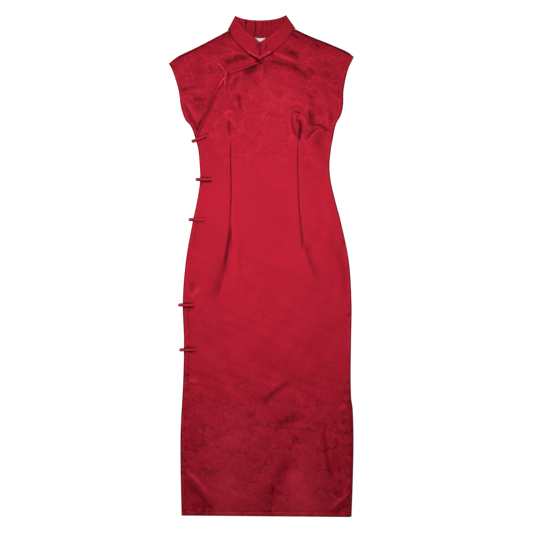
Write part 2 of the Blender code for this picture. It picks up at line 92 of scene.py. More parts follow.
# Where the front's own mesh is finer: the swirl at the bust and the trough under the left dart
SWIRL_X = 120.0
SWIRL_FOOT_Y = 290.0
SWIRL_TOP_Y = 430.0
TROUGH_X = -92.0
TROUGH_FOOT_Y = -70.0
TROUGH_TOP_Y = 120.0

Width = namedtuple("Width", "y left right")
Edge = namedtuple("Edge", "y x")
Rise = namedtuple("Rise", "y height")
Band = namedtuple("Band", "share x y")
Buckle = namedtuple("Buckle", "x half_width height foot")
Crease = namedtuple("Crease", "left right height path")
Swell = namedtuple("Swell", "x y wide long height")
FrontFrog = namedtuple("FrontFrog", "name x y strip_angle loop_angle")
SideFrog = namedtuple("SideFrog", "name y strip_angle")
Spine = namedtuple("Spine", "start ahead length half_width ball_radius light")
FrogPlan = namedtuple("FrogPlan", "name knot loop seams knot_spine loop_spine")
Leaves = namedtuple("Leaves", "mask veins inside shade under")
Stitch = namedtuple("Stitch", "spacing length thickness slant seed")
Lamp = namedtuple("Lamp", "name place aim size watts")

# The outline of the cut pieces, as in the solids
SIDE_SEAMS = [
    Width(-638, -203, 227), Width(-520, -205.5, 231), Width(-420, -205.5, 232),
    Width(-290, -199, 228), Width(-190, -197, 229), Width(-90, -200, 230),
    Width(15, -192, 223), Width(117, -174, 202), Width(170, -163, 188),
    Width(219, -156, 177), Width(258, -157, 174), Width(300, -161, 178),
    Width(322, -167, 182),
]
LEFT_SLEEVE = [
    Edge(322, -167), Edge(347, -175), Edge(360, -182), Edge(372, -193), Edge(403, -204),
    Edge(449, -211), Edge(500, -227), Edge(516, -236),
]
RIGHT_SLEEVE = [
    Edge(322, 182), Edge(360, 190), Edge(385, 203), Edge(410, 208.5), Edge(449, 210),
    Edge(500, 221), Edge(533, 236),
]
LEFT_SHOULDER = [
    Edge(516, -236), Edge(535.5, -210), Edge(556, -167.5), Edge(586.5, -109), Edge(599, -86),
]
RIGHT_SHOULDER = [
    Edge(533, 236), Edge(546, 219), Edge(566, 174), Edge(586.5, 123), Edge(602.5, 89),
]
LEFT_NECKLINE = [Edge(522, -3), Edge(546, -38), Edge(574, -67), Edge(599, -84)]
RIGHT_NECKLINE = [Edge(522, -3), Edge(537, 18), Edge(549, 35), Edge(569, 58), Edge(602.5, 86)]
OPENING_EDGE = [
    Edge(322, -167), Edge(342, -162), Edge(389, -143), Edge(454, -112), Edge(478, -97),
    Edge(493, -80), Edge(510, -35), Edge(522, -3),
]
UNDERFLAP_EDGE = [Edge(300, -118), Edge(420, -62), Edge(480, -25), Edge(522, -3)]
DART_LINES = [
    Width(-638, -70, 95), Width(-200, -78, 98), Width(-41, -100, 110), Width(66, -84, 106),
    Width(168, -77, 96), Width(352, -76, 94), Width(423, -58, 100), Width(478, -20, 108),
    Width(510, 22, 116), Width(533, 52, 126), Width(602.5, 87, 88),
]
DART_FOOT_Y = 95.0
DART_TOP_Y = 330.0
DART_DEPTH = 0.9
DART_HALF_WIDTH = 1.5
CROWN = [
    Rise(-638, 1.6), Rise(-300, 2.6), Rise(0, 3.0), Rise(219, 2.2), Rise(380, 2.8), Rise(600, 1.2),
]
CREASE_GAIN = 0.7
NECK_RISE = 1.0
NECK_RISE_REACH = 45.0
UNDERFLAP_SHOULDER = 30.0
UNDERFLAP_MARGIN = 12.0
SLIT_TOP_Y = -310.0
SLIT_REVEAL = 3.0

# Creases of the big front: widths to the left and right of a path, the height, the path
FRONT_CREASES = [
    # Below the left dart
    Crease(3.3, 3.3, -2.6, ((-79, 115), (-80, 87), (-83, 62), (-87, 37), (-92, 11), (-97, -17))),
    Crease(5.6, 10.2, -1.3, ((-88, 26), (-100, -22), (-111, -58), (-124, -96))),
    Crease(1.8, 1.8, -1, ((-79, 103), (-78, 77), (-76, 59), (-74, 44))),
    Crease(3.3, 3.3, 0.7, ((-75, 169), (-74, 105), (-71, 52))),
    Crease(6.4, 6.4, -0.35, ((-51, 77), (-55, -27))),
    Crease(6.4, 6.4, 0.35, ((-67, 87), (-70, -60))),
    Crease(12.7, 12.7, -0.4, ((-102, 42), (-125, -55), (-146, -91))),
    # Below the right dart
    Crease(2, 2, -1.5, ((97, 133), (101, 100), (104, 77), (105, 54), (104, 29))),
    Crease(10.2, 1.8, -0.9, ((106, 77), (114, 42), (124, 11), (134, -14), (147, -42))),
    # Along the left side
    Crease(2.5, 2.5, -0.8, ((-163, 123), (-170, 80), (-177, 37))),
    Crease(6.4, 6.4, 1.4, ((-185, -83), (-171, -70), (-153, -52))),
    Crease(4.6, 4.6, -1, ((-181, -35), (-177, -52), (-181, -70))),
    Crease(4.1, 4.1, -0.9, ((-190, -103), (-185, -111), (-184, -121))),
    # Along the right side
    Crease(12.7, 12.7, -0.5, ((155, 138), (180, 77), (200, 29), (213, -14), (217, -65),
        (223, -126))),
    Crease(3.1, 3.1, -0.8, ((204, 80), (209, 67), (214, 52))),
    Crease(4.6, 4.6, -0.9, ((223, -98), (226, -108))),
    Crease(4.6, 4.6, -0.9, ((221, -121), (227, -129))),
    # The right bust point, where the darts meet and the cloth swirls
    Crease(3.1, 3.1, -3.3, ((92, 381), (98, 371), (101, 359), (100, 344), (98, 329), (96, 309))),
    Crease(2, 2, 1.1, ((86, 309), (78, 337), (74, 357), (74, 377), (76, 393), (82, 404))),
    Crease(3.3, 3.3, -1.2, ((87, 396), (81, 390), (80, 375), (84, 354), (90, 334), (94, 314))),
    Crease(2, 2, 1.3, ((91, 342), (87, 362), (87, 379), (93, 387), (101, 386), (109, 379),
        (113, 368), (109, 359))),
    Crease(1.8, 1.8, -1, ((91, 362), (91, 376), (96, 382), (104, 377))),
    Crease(2, 2, -0.8, ((74, 401), (86, 408), (97, 405), (105, 398))),
    Crease(3.3, 3.3, -1.2, ((82, 395), (92, 394), (104, 386))),
    Crease(7.1, 7.1, -2.2, ((129, 405), (126, 390), (130, 372), (133, 352))),
    Crease(8.9, 8.9, -0.7, ((123, 454), (127, 428), (127, 403))),
    Crease(1.8, 1.8, -1.8, ((120, 361), (137, 362), (149, 359), (158, 354), (168, 346),
        (185, 339))),
    Crease(5.1, 5.1, 1, ((165, 354), (169, 377), (171, 398))),
    Crease(2.5, 2.5, -1.2, ((167, 376), (162, 367), (158, 357))),
    Crease(3.6, 3.6, -0.8, ((174, 370), (179, 382), (188, 395))),
    Crease(2.5, 2.5, 1.5, ((105, 318), (121, 325), (132, 335), (142, 344), (155, 352))),
    Crease(5.6, 2.5, -1.7, ((109, 324), (121, 328), (128, 337), (137, 346), (149, 354))),
    Crease(7.6, 7.6, -0.6, ((107, 352), (116, 339))),
    Crease(12.7, 5.1, -0.6, ((175, 342), (149, 331), (127, 309))),
    Crease(12.7, 12.7, -0.5, ((167, 329), (139, 314))),
    # The left bust point, which follows the right one
    Crease(3.6, 3.6, -1.8, ((-81, 377), (-82, 354), (-79, 326))),
    Crease(4.1, 4.1, 1, ((-92, 375), (-90, 393), (-76, 395), (-68, 380))),
    Crease(6.1, 6.1, 0.8, ((-140, 339), (-118, 337), (-100, 324))),
    Crease(1.8, 1.8, -1, ((-156, 329), (-138, 338), (-123, 343))),
    Crease(3.3, 3.3, -1.9, ((-58, 448), (-57, 431), (-53, 415), (-49, 393))),
    Crease(7.6, 7.6, -0.4, ((-46, 441), (-34, 420))),
    # Folds that run out from the pit of the neck
    Crease(10.7, 2, -1, ((-54, 495), (-67, 474), (-79, 456))),
    Crease(3.1, 3.3, 1, ((-61, 495), (-72, 478), (-84, 459))),
    Crease(8.1, 7.6, -2.4, ((-49, 490), (-31, 497), (-16, 504), (2, 513))),
    Crease(7.6, 7.6, -0.5, ((-16, 494), (-14, 459))),
    Crease(6.4, 6.4, 0.5, ((2, 509), (5, 469))),
    Crease(2.5, 2.5, -0.8, ((9, 520), (12, 504), (11, 484))),
    Crease(2.5, 2.5, -1.2, ((10, 520), (22, 523), (40, 518))),
    Crease(7.1, 7.1, -1.7, ((58, 568), (73, 553), (88, 540), (101, 527))),
    Crease(6.1, 6.1, -1, ((50, 549), (73, 545), (101, 545))),
    Crease(3.6, 3.6, 1.5, ((27, 546), (48, 540), (68, 532), (91, 520))),
    Crease(7.6, 7.6, -1.5, ((17, 529), (40, 522), (63, 516), (81, 511), (96, 501), (114, 489),
        (139, 476))),
    Crease(2.3, 2.3, -0.9, ((73, 523), (86, 512), (99, 497))),
    Crease(6.6, 6.6, -1.1, ((114, 506), (129, 499), (142, 487))),
    Crease(2.3, 2.3, -1.8, ((78, 595), (87, 587), (96, 581))),
    Crease(4.1, 4.1, -0.9, ((139, 567), (155, 559))),
    Crease(10.2, 10.2, -0.55, ((160, 530), (182, 507))),
    Crease(7.6, 7.6, -0.45, ((149, 484), (185, 495))),
    Crease(1.8, 1.8, -1, ((180, 476), (203, 480))),
    Crease(1.8, 1.8, -0.9, ((180, 467), (202, 472))),
    Crease(2.3, 2.3, -0.9, ((184, 483), (208, 490))),
    Crease(1.8, 1.8, 0.7, ((182, 471), (203, 476))),
    Crease(4.1, 4.1, -1.1, ((127, 448), (147, 445))),
    Crease(5.6, 5.6, -0.8, ((116, 442), (137, 428))),
    Crease(7.6, 7.6, 0.5, ((155, 438), (165, 413))),
    Crease(5.6, 5.6, 0.5, ((55, 499), (63, 474))),
    Crease(7.6, 7.6, -0.4, ((45, 459), (50, 428))),
    # The skirt
    Crease(11.7, 2, -1.7, ((81, -281), (60, -300), (40, -314), (22, -330), (8, -342), (-3, -368))),
    Crease(3.8, 3.8, -0.7, ((7, -342), (15, -363))),
    Crease(11.4, 11.4, -1.2, ((53, -402), (86, -391), (116, -392))),
    Crease(10.2, 10.2, -0.7, ((38, -401), (60, -413), (83, -424))),
    Crease(20.3, 20.3, -0.4, ((99, -421), (93, -457))),
    Crease(4.1, 5.6, -2, ((165, -393), (160, -431), (165, -467), (168, -495), (174, -520),
        (179, -558))),
    Crease(15.3, 15.3, -0.55, ((185, -431), (195, -482), (193, -543))),
    Crease(4.6, 4.6, -1.2, ((175, -513), (180, -528), (179, -546))),
    Crease(12.7, 15.3, -1.7, ((76, -472), (58, -520), (43, -556), (27, -589), (7, -645))),
    Crease(8.9, 8.9, -0.6, ((88, -487), (71, -518))),
    Crease(14, 14, 1.2, ((88, -508), (91, -569), (93, -645))),
    Crease(28, 28, 0.4, ((-90, -538), (-74, -614))),
    Crease(28, 28, 0.35, ((-29, -543), (-23, -609))),
    Crease(3.1, 3.1, 1.9, ((-189, -292), (-176, -292), (-159, -299))),
    Crease(2.3, 2.3, -2, ((-198, -282), (-190, -278), (-185, -271))),
    Crease(4.1, 3.3, 2.2, ((-201, -513), (-181, -533), (-161, -553), (-146, -569), (-128, -586))),
    Crease(15.3, 3.1, -2.3, ((-110, -637), (-133, -609), (-153, -585), (-173, -561), (-196, -533))),
    Crease(7.6, 7.6, -1.2, ((-186, -610), (-146, -613), (-107, -610))),
    Crease(10.2, 10.2, -0.8, ((-171, -408), (-176, -452), (-170, -492))),
    Crease(2.8, 2.8, -1.8, ((-203, -510), (-194, -511), (-182, -516))),
    Crease(4.1, 4.1, 0.8, ((-190, -496), (-166, -510))),
    Crease(7.6, 7.6, -0.6, ((-161, -497), (-140, -500), (-125, -495))),
    Crease(7.6, 7.6, 0.8, ((198, -361), (218, -360))),
    Crease(3.3, 3.3, -1.2, ((204, -375), (226, -375))),
    Crease(5.1, 5.1, -0.9, ((216, -388), (208, -408))),
    Crease(5.8, 5.8, -0.9, ((210, -314), (216, -332))),
    Crease(3.6, 3.6, 1.7, ((226, -575), (208, -589), (190, -604), (177, -619))),
    Crease(7.1, 7.1, -2, ((233, -586), (213, -604), (195, -619), (177, -637))),
    Crease(7.6, 7.6, -0.7, ((177, -574), (210, -577))),
    Crease(7.6, 7.6, -0.6, ((2, -497), (-34, -495))),
    Crease(6.4, 6.4, -0.8, ((-39, -374), (-27, -382), (-11, -371))),
    Crease(5.1, 5.1, -0.8, ((-123, -433), (-100, -438))),
    Crease(25.4, 25.4, 0.35, ((-74, -421), (-64, -472))),
    Crease(20.3, 20.3, -0.35, ((-125, -352), (-115, -391))),
    Crease(35.6, 35.6, 0.3, ((-140, -200), (-125, -276))),
    Crease(40.7, 40.7, -0.25, ((124, -174), (129, -243))),
]

# Creases of the small front flap, on the left of the picture
UNDERFLAP_CREASES = [
    # Shoulder
    Crease(8.6, 5.6, -2.9, ((-92, 512), (-77, 523), (-62, 530), (-46, 531), (-26, 525))),
    Crease(3.1, 3.1, 0.9, ((-79, 546), (-54, 542), (-32, 530))),
    Crease(3.8, 3.8, 0.5, ((-105, 537), (-74, 544))),
    Crease(2.3, 2.3, -1.4, ((-104, 574), (-96, 568), (-87, 565))),
    Crease(10.2, 10.2, -0.8, ((-105, 576), (-77, 591))),
    Crease(4.6, 4.6, 0.8, ((-165, 541), (-179, 517))),
    Crease(10.2, 10.2, -0.5, ((-166, 522), (-158, 497), (-166, 474))),
    Crease(7.6, 7.6, -0.8, ((-143, 512), (-125, 501), (-138, 487))),
    Crease(2.5, 2.5, -1.2, ((-98, 531), (-88, 523), (-81, 530))),
    Crease(2.5, 2.5, 0.7, ((-110, 530), (-95, 537))),
    Crease(2.5, 2.5, -1.6, ((-230, 517), (-226, 509), (-224, 498))),
    Crease(7.6, 7.6, 0.5, ((-199, 520), (-207, 489))),
    Crease(3.1, 3.1, -0.6, ((-207, 479), (-194, 487))),
    # Chest and armhole
    Crease(4.3, 4.3, -1, ((-205, 442), (-191, 452), (-173, 458), (-148, 460))),
    Crease(7.6, 7.6, 0.6, ((-184, 443), (-158, 448), (-135, 442))),
    Crease(2, 2, -0.7, ((-180, 442), (-166, 433), (-146, 436))),
    Crease(4.1, 4.1, -1.6, ((-179, 426), (-158, 427), (-137, 423))),
    Crease(11.4, 11.4, -0.9, ((-166, 400), (-146, 417))),
    Crease(4.6, 4.6, 2, ((-198, 431), (-184, 408), (-173, 390), (-161, 373))),
    Crease(2.8, 2.8, -1.7, ((-200, 423), (-189, 398), (-179, 377), (-168, 362), (-161, 344),
        (-158, 326))),
    Crease(2, 2, 1.1, ((-184, 373), (-171, 354), (-164, 330))),
    Crease(2.3, 2.3, -1.8, ((-142, 393), (-148, 377), (-156, 366), (-165, 356))),
    Crease(4.8, 4.8, -1.5, ((-154, 371), (-159, 354))),
    Crease(3.1, 3.1, 0.8, ((-138, 405), (-140, 387), (-149, 362))),
]

# Painted shade and highlight in the satin's colour, from -1 in a deep hollow to 1 on a ridge
FULL_SHADE_HEIGHT = 2.1
BACK_PAINTED_SHADE = -0.35
COLLAR_FOLD_PAINTED_SHADE = -0.65
NECK_SEAM_PAINTED_SHADE = -0.65
DART_PAINTED_SHADES = (("left", -0.80), ("right", -0.50))
# Broad painted highlights, and a faint painted shade where the height is below 0
LIGHT_SWELLS = [
    Swell(-92, -600, 42, 130, 0.55),
    Swell(-70, -420, 70, 80, 0.28),
    Swell(105, -590, 42, 110, 0.60),
    Swell(-160, -500, 40, 120, 0.20),
    Swell(40, 430, 62, 42, 0.35),
    Swell(45, 350, 55, 60, 0.10),
    Swell(20, 90, 75, 120, -0.10),
    Swell(20, -590, 230, 160, 0.42),
    Swell(0, -400, 220, 90, 0.12),
]

# Thin shadows beside the front frogs, and along the sharpest fold at the bust
THIN_SHADOWS = [
    Crease(2.2, 2.2, -1.5, ((-41, 545), (-30, 537.5), (-22, 533), (-14, 528.5), (-6, 522))),
    Crease(1.8, 1.8, -1.5, ((0, 522), (8, 530), (17, 535.5), (26, 540.5), (33, 544.5))),
    Crease(3.6, 3.6, -2.4, ((-14, 525), (-8, 521), (-3, 518), (2, 523))),
    Crease(2.4, 2.4, -1.6, ((-81, 500), (-83, 492), (-86, 487), (-92, 484.5), (-97, 486))),
    Crease(1.8, 1.8, -0.8, ((-112, 512), (-106, 505), (-100, 498), (-96, 494))),
    Crease(1.8, 1.8, -0.6, ((-99, 515), (-93, 508), (-88, 501))),
    Crease(1.3, 1.3, -1.5, ((138, 362), (154.5, 358.5), (166.5, 349.5), (182.5, 339))),
]

# Shadows on both sides of each side frog: how far aside, how dark; and how wide
SIDE_FROG_SHADOWS = ((-4.3, 1.9), (4.1, 1.1))
SIDE_FROG_SHADOW_WIDTH = 1.8

# The collar
COLLAR_TOP_RIGHT = [
    Band(0.0, -3, 570), Band(0.2, 12, 580), Band(0.42, 28, 592), Band(0.62, 42, 604),
    Band(0.82, 53, 618), Band(1.0, 61, 638),
]
COLLAR_TOP_LEFT = [
    Band(0.0, -3, 570), Band(0.2, -17, 581), Band(0.42, -31, 591), Band(0.62, -43, 601),
    Band(0.82, -53, 616), Band(1.0, -64, 636.5),
]
COLLAR_TOP_BACK = [
    Band(0.0, 61, 638), Band(0.15, 42, 631), Band(0.3, 23, 627.5), Band(0.5, 0, 626),
    Band(0.7, -25, 627), Band(0.86, -45, 630), Band(1.0, -64, 636.5),
]
COLLAR_FRONT_Z = 4.4
COLLAR_BACK_Z = 1.0
COLLAR_CROWN = 0.9
COLLAR_SLIT = 0.04
COLLAR_FOLD_Y = 600.0
COLLAR_SEAM_GAP = 0.6
COLLAR_HALF_STEPS = 70
COLLAR_FOLD_STEPS = 12
COLLAR_BACK_STEPS = 130
COLLAR_ACROSS = 16
BACK_BUCKLES = [
    Buckle(-40.5, 2.0, 1.0, 0.30), Buckle(-36.5, 1.7, -0.5, 0.30), Buckle(-16.0, 1.8, 1.0, 0.12),
    Buckle(-12.2, 1.7, -0.5, 0.12), Buckle(2.0, 2.6, 0.6, 0.25), Buckle(13.0, 2.6, 0.5, 0.35),
    Buckle(25.0, 3.0, 0.4, 0.45),
]
COLLAR_CREASES = [
    Crease(1.6, 1.6, -0.6, ((-9, 567), (-9, 558), (-8, 549))),
    Crease(1.6, 1.6, -0.6, ((14, 565), (12, 556), (11, 546))),
]

LABEL_WIDTH = 46.0
LABEL_DEPTH = 18.0
LABEL_WALL = 0.7

# Distances of the first points inside an edge
EDGE_STEPS = (0.0, 0.6, 1.3, 2.1, 3.0, 4.0, 5.2, 6.6, 8.2, 10.0, 12.0, 14.5)

# Frogs
CORD_RADIUS = 1.65
CORD_SPACING = 1.7
SIDE_CORD_RADIUS = 1.6
SIDE_CORD_SPACING = 1.5
STRIP_LENGTH = 27.0
BALL_RADIUS = 4.4
BALL_LENGTH = 1.15
BALL_OFF_EDGE = 6.5
EYE_CORD_RADIUS = 1.4
EYE_HALF_WIDTH = 3.0
KNOT_CORD = 1.35
KNOT_CORE = 0.72
KNOT_TURNS = 3
KNOT_CLIMBS = 4
KNOT_TILT = 64
WHIPPING_THREAD = 0.35
WHIPPING_TURNS = (-0.7, 0.0, 0.7)
WHIPPING_REACH = 1.9
WHIPPING_HEIGHT = 1.95
THREAD_LIFT = 0.35
FROG_STITCH = Stitch(1.9, 2.6, 0.5, 1.1, 3)
HEM_STITCH = Stitch(6.5, 1.6, 0.45, 0.15, 7)
STITCH_WANDER = 0.12
# How bright the painted light along the front and side frog cords is
FRONT_FROG_LIGHT = 1.3
SIDE_FROG_LIGHT = 0.6
FRONT_FROGS = [
    FrontFrog("frog_neck", -4, 529, 29, 151),
    FrontFrog("frog_chest", -88.5, 492, -96, 131),
]
SIDE_FROGS = [
    SideFrog("frog_underarm", 321, 23),
    SideFrog("frog_waist", 221, 0),
    SideFrog("frog_hip", 119, 0),
    SideFrog("frog_thigh", -98, 0),
    SideFrog("frog_slit", -212, 0),
]

# The photograph's frame: its scale at the height of the cloth, and the point under its middle
PIXEL = 2.5424
PHOTO_SIDE = 533
PHOTO_MIDDLE = (13.4, -0.3)
PHOTO_PLANE_Z = 3.0
LENS = 85.0
SENSOR = 36.0

# The damask's leaves and where the cloth changes up the dress, in metres, and the colours
LEAF_SIZE = 0.057
SKIRT_FADE = (-0.45, -0.17)
CHEST_FADE = (0.13, 0.42)
LEAF_LOBES = 5
LEAF_TEETH = 23.0
VEINS_PER_LEAF = 9.0
FAN_OF_VEINS = 11.0
LEAF_LAYERS = ((0.0, 0.3), (3.4, 0.95), (11.6, 1.6))
LEAF_RED = (0.515, 0.0115, 0.034)
# The darker ground between leaves, also the colour of the leaves' painted shadows and painted shade
GROUND_AND_SHADE_RED = (0.14, 0.0025, 0.008)
VEIN_RED = (0.38, 0.007, 0.024)
# The leaves' bright outline, kept to the lit side as partly a painted highlight
LINE_RED = (0.78, 0.034, 0.070)
# Colours of painted shade in hollows and painted highlight on ridges
PAINTED_SHADE_RED = (0.060, 0.0008, 0.003)
PAINTED_HIGHLIGHT_RED = (0.80, 0.035, 0.075)
CORD_RED = (0.74, 0.022, 0.056)
THREAD_RED = (0.50, 0.014, 0.034)
TAPE_WHITE = (0.86, 0.85, 0.83)
WHITE = (1.0, 1.0, 1.0)

# The floor and the lights, in metres and watts
FLOOR_HALF = 30.0
FLOOR_Z = -0.0004
FLOOR_GREYS = (0.34, 0.36)
FLOOR_GLOW = 0.93
LIGHTS = [
    Lamp("waist_light", (0.0, 0.20, 1.7), (0.0, 0.10, 0.0), 0.5, 14.0),
    Lamp("left_light", (-1.9, 2.0, 1.0), (0.0, 0.0, 0.0), 0.6, 50.0),
    Lamp("right_fill", (2.0, -1.2, 2.0), (0.0, 0.0, 0.0), 2.0, 6.0),
]


# Curves and blends, on arrays of points

def smooth_curve(points, at):
    """A smooth curve through (position, value) points, level past both ends."""
    t = np.array([p[0] for p in points], float)
    v = np.array([p[1] for p in points], float)
    at = np.clip(np.asarray(at, float), t[0], t[-1])
    slope = np.empty_like(v)
    slope[1:-1] = (v[2:] - v[:-2]) / (t[2:] - t[:-2])
    slope[0] = (v[1] - v[0]) / (t[1] - t[0])
    slope[-1] = (v[-1] - v[-2]) / (t[-1] - t[-2])
    place = np.clip(np.searchsorted(t, at, side="right") - 1, 0, len(t) - 2)
    span = t[place + 1] - t[place]
    u = (at - t[place]) / span
    return (
        (2 * u ** 3 - 3 * u ** 2 + 1) * v[place] + (u ** 3 - 2 * u ** 2 + u) * slope[place] * span
        + (3 * u ** 2 - 2 * u ** 3) * v[place + 1] + (u ** 3 - u ** 2) * slope[place + 1] * span
    )


def edge_x(edge, y):
    return smooth_curve([(p.y, p.x) for p in edge], y)


def band_point(edge, share):
    x = smooth_curve([(p.share, p.x) for p in edge], share)
    y = smooth_curve([(p.share, p.y) for p in edge], share)
    return float(x), float(y)


def ease(value):
    value = np.clip(value, 0.0, 1.0)
    return value * value * (3 - 2 * value)


def bell(value, width):
    """A soft bump, 1 in the middle and gone after about two widths."""
    return np.exp(-(value / width) ** 2)


def waver(t, seed):
    """A smooth uneven wave between about -1 and 1, the same each run."""
    total = np.zeros_like(np.asarray(t, float))
    for step, share in ((1.0, 0.5), (2.17, 0.3), (4.43, 0.2)):
        total += share * np.sin(step * t + seed * (1.3 + step))
    return total


# The outline

def outer_left(y):
    y = np.asarray(y, float)
    seam = smooth_curve([(p.y, p.left) for p in SIDE_SEAMS], y)
    above = np.where(y <= LEFT_TIP_Y, edge_x(LEFT_SLEEVE, y), edge_x(LEFT_SHOULDER, y))
    return np.where(y <= UNDERARM_Y, seam, above)


def outer_right(y):
    y = np.asarray(y, float)
    seam = smooth_curve([(p.y, p.right) for p in SIDE_SEAMS], y)
    above = np.where(y <= RIGHT_TIP_Y, edge_x(RIGHT_SLEEVE, y), edge_x(RIGHT_SHOULDER, y))
    return np.where(y <= UNDERARM_Y, seam, above)


def flap_left(y):
    y = np.asarray(y, float)
    above = np.where(y <= NECK_PIT_Y, edge_x(OPENING_EDGE, y), edge_x(RIGHT_NECKLINE, y))
    return np.where(y <= UNDERARM_Y, outer_left(y), above)


def underflap_right(y):
    y = np.asarray(y, float)
    return np.where(y <= NECK_PIT_Y, edge_x(UNDERFLAP_EDGE, y), edge_x(LEFT_NECKLINE, y))


def inward(boundary, x, y, side):
    """About how far a point lies inside a boundary, square to it."""
    slope = (boundary(y + 1.0) - boundary(y - 1.0)) / 2.0
    return side * (x - boundary(y)) / np.sqrt(1.0 + np.minimum(slope * slope, 16.0))


def slanted(x, y):
    below = np.maximum(0.0, (HEM_SLANT_FROM_Y - y) / (HEM_SLANT_FROM_Y - HEM_Y))
    return y - HEM_SLANT * (x / SIDE_SEAMS[0].right) * below ** 2


def back_neck_y(x):
    side_x, side_y = RIGHT_NECK_POINT if x > 0 else LEFT_NECK_POINT
    return BACK_NECK_Y + (side_y - BACK_NECK_Y) * (x / side_x) ** 2


def on_sleeve(y, tip_y):
    """1 along a cap sleeve's hem, fading out at the underarm and at the tip."""
    return ease((y - UNDERARM_Y) / 20) * ease((tip_y - y) / 9)


def on_dart(y):
    return ease((y - DART_FOOT_Y) / 30.0) * ease((DART_TOP_Y - y) / 40.0)


def dart_line(side, y):
    return smooth_curve([(p.y, getattr(p, side)) for p in DART_LINES], y)


def above_pit(y):
    return ease((y - NECK_PIT_Y) / 6.0)


def front_hems(y):
    """How strongly the hems of the left slit, right slit, bottom and right sleeve show."""
    return (
        ease((LEFT_HEM_TOP_Y - y) / 60), ease((SLIT_TOP_Y + 40 - y) / 40),
        ease((HEM_Y + 40 - y) / 20), on_sleeve(y, RIGHT_TIP_Y),
    )


# Heights of the cloth

def smooth_path(path, steps=6):
    along = list(range(len(path)))
    at = np.linspace(0, len(path) - 1, steps * (len(path) - 1) + 1)
    xs = smooth_curve([(i, path[i][0]) for i in along], at)
    ys = smooth_curve([(i, path[i][1]) for i in along], at)
    return np.stack([xs, ys], axis=1)


def crease_height(creases, x, y):
    """The summed relief of soft creases, each fading out towards both ends of its path."""
    total = np.zeros_like(x)
    for crease in creases:
        path = smooth_path(crease.path)
        reach = 3.0 * max(crease.left, crease.right)
        low, high = path.min(0) - reach, path.max(0) + reach
        near = (x > low[0]) & (x < high[0]) & (y > low[1]) & (y < high[1])
        px, py = x[near], y[near]
        if not len(px):
            continue
        best = np.full(px.shape, 1e9)
        width = np.zeros_like(px)
        share = np.zeros_like(px)
        for i in range(len(path) - 1):
            run = path[i + 1] - path[i]
            t = np.clip(((px - path[i][0]) * run[0] + (py - path[i][1]) * run[1]) / (run @ run), 0, 1)
            dx, dy = px - path[i][0] - t * run[0], py - path[i][1] - t * run[1]
            away = np.hypot(dx, dy)
            nearer = away < best
            on_left = run[0] * dy - run[1] * dx > 0
            best = np.where(nearer, away, best)
            width = np.where(nearer, np.where(on_left, crease.left, crease.right), width)
            share = np.where(nearer, (i + t) / (len(path) - 1), share)
        fade = ease(share / 0.3) * ease((1.0 - share) / 0.3)
        total[near] += crease.height * bell(best, width) * fade
    return total


def crown_height(x, y):
    left, right = outer_left(y), outer_right(y)
    across = np.clip((x - left) / np.maximum(1.0, right - left), 0.0, 1.0)
    middle = smooth_curve([(p.y, p.height) for p in CROWN], y)
    return middle * np.minimum(1.0, 5.0 * across * (1.0 - across))


def neck_height(x, y):
    away = np.full(np.shape(x), 1e9)
    for p in LEFT_NECKLINE + RIGHT_NECKLINE:
        away = np.minimum(away, np.hypot(x - p.x, y - p.y))
    return NECK_RISE * ease(1.0 - away / NECK_RISE_REACH)


def loose_weave(x, y):
    """The faint unevenness of satin that lies flat."""
    return 0.45 * (
        np.sin(x / 19.0 + 1.7 * np.sin(y / 47.0)) * np.sin(y / 31.0 + 1.3 * np.sin(x / 37.0 + 2.0))
        + 0.5 * np.sin(x / 8.3 + y / 13.7 + 1.9 * np.sin(y / 23.0)) * np.sin(y / 11.9 - x / 29.0)
    )


def dart_height(x, y):
    total = np.zeros_like(x)
    for side in ("left", "right"):
        away = x - dart_line(side, y)
        total -= DART_DEPTH * on_dart(y) * bell(away, DART_HALF_WIDTH)
        total += 0.25 * on_dart(y) * bell(away, 6 * DART_HALF_WIDTH)
    return total


def rolled_edge(away, drop, width):
    """The cloth turns down over the last few millimetres before an edge."""
    inside = np.clip(1.0 - away / width, 0.0, 1.0)
    return -drop * (1.0 - np.sqrt(1.0 - np.minimum(inside, 0.999) ** 2))


def turned_down(z, away, edge_z, width):
    """The cloth rolls over an outer edge, down to one height above the floor."""
    inside = np.clip(1.0 - away / width, 0.0, 1.0)
    return edge_z + (z - edge_z) * np.sqrt(1.0 - inside ** 2)


def turned_hem(away, depth, along, seed, strength):
    """A blind stitched hem: a fine groove and uneven puckers beside it."""
    groove = -0.35 * bell(away - depth, 1.6)
    pucker = 0.5 * bell(away - depth + 1.5, 5.0) * waver(along / 5.5, seed)
    ridge = 0.25 * bell(away - depth + 5.0, 3.5)
    return strength * (groove + pucker + ridge)


def underflap_top(x, y):
    away = inward(outer_left, x, y, 1.0)
    loose = crown_height(x, y) * 0.6 + CREASE_GAIN * crease_height(UNDERFLAP_CREASES, x, y)
    loose = loose + loose_weave(x, y)
    sleeve = 0.6 * on_sleeve(y, LEFT_TIP_Y)
    loose = loose + turned_hem(away, SLEEVE_HEM, y, LEFT_SLEEVE_SEED, sleeve)
    neck = above_pit(y) * rolled_edge(inward(underflap_right, x, y, -1.0), 0.8, 2.5)
    top = 2 * CLOTH_WALL + SEAM_GAP + neck_height(x, y) + np.maximum(-0.25, loose) + neck
    return turned_down(top, away, SEAM_Z, EDGE_ROLL)


def flap_lift(x, y):
    edge = underflap_right(np.clip(y, UNDERFLAP_FOOT_Y, NECK_PIT_Y))
    beside = ease((edge + UNDERFLAP_MARGIN + UNDERFLAP_SHOULDER - x) / UNDERFLAP_SHOULDER)
    above = ease((y - UNDERFLAP_FOOT_Y + UNDERFLAP_MARGIN + UNDERFLAP_SHOULDER) / UNDERFLAP_SHOULDER)
    return beside * above


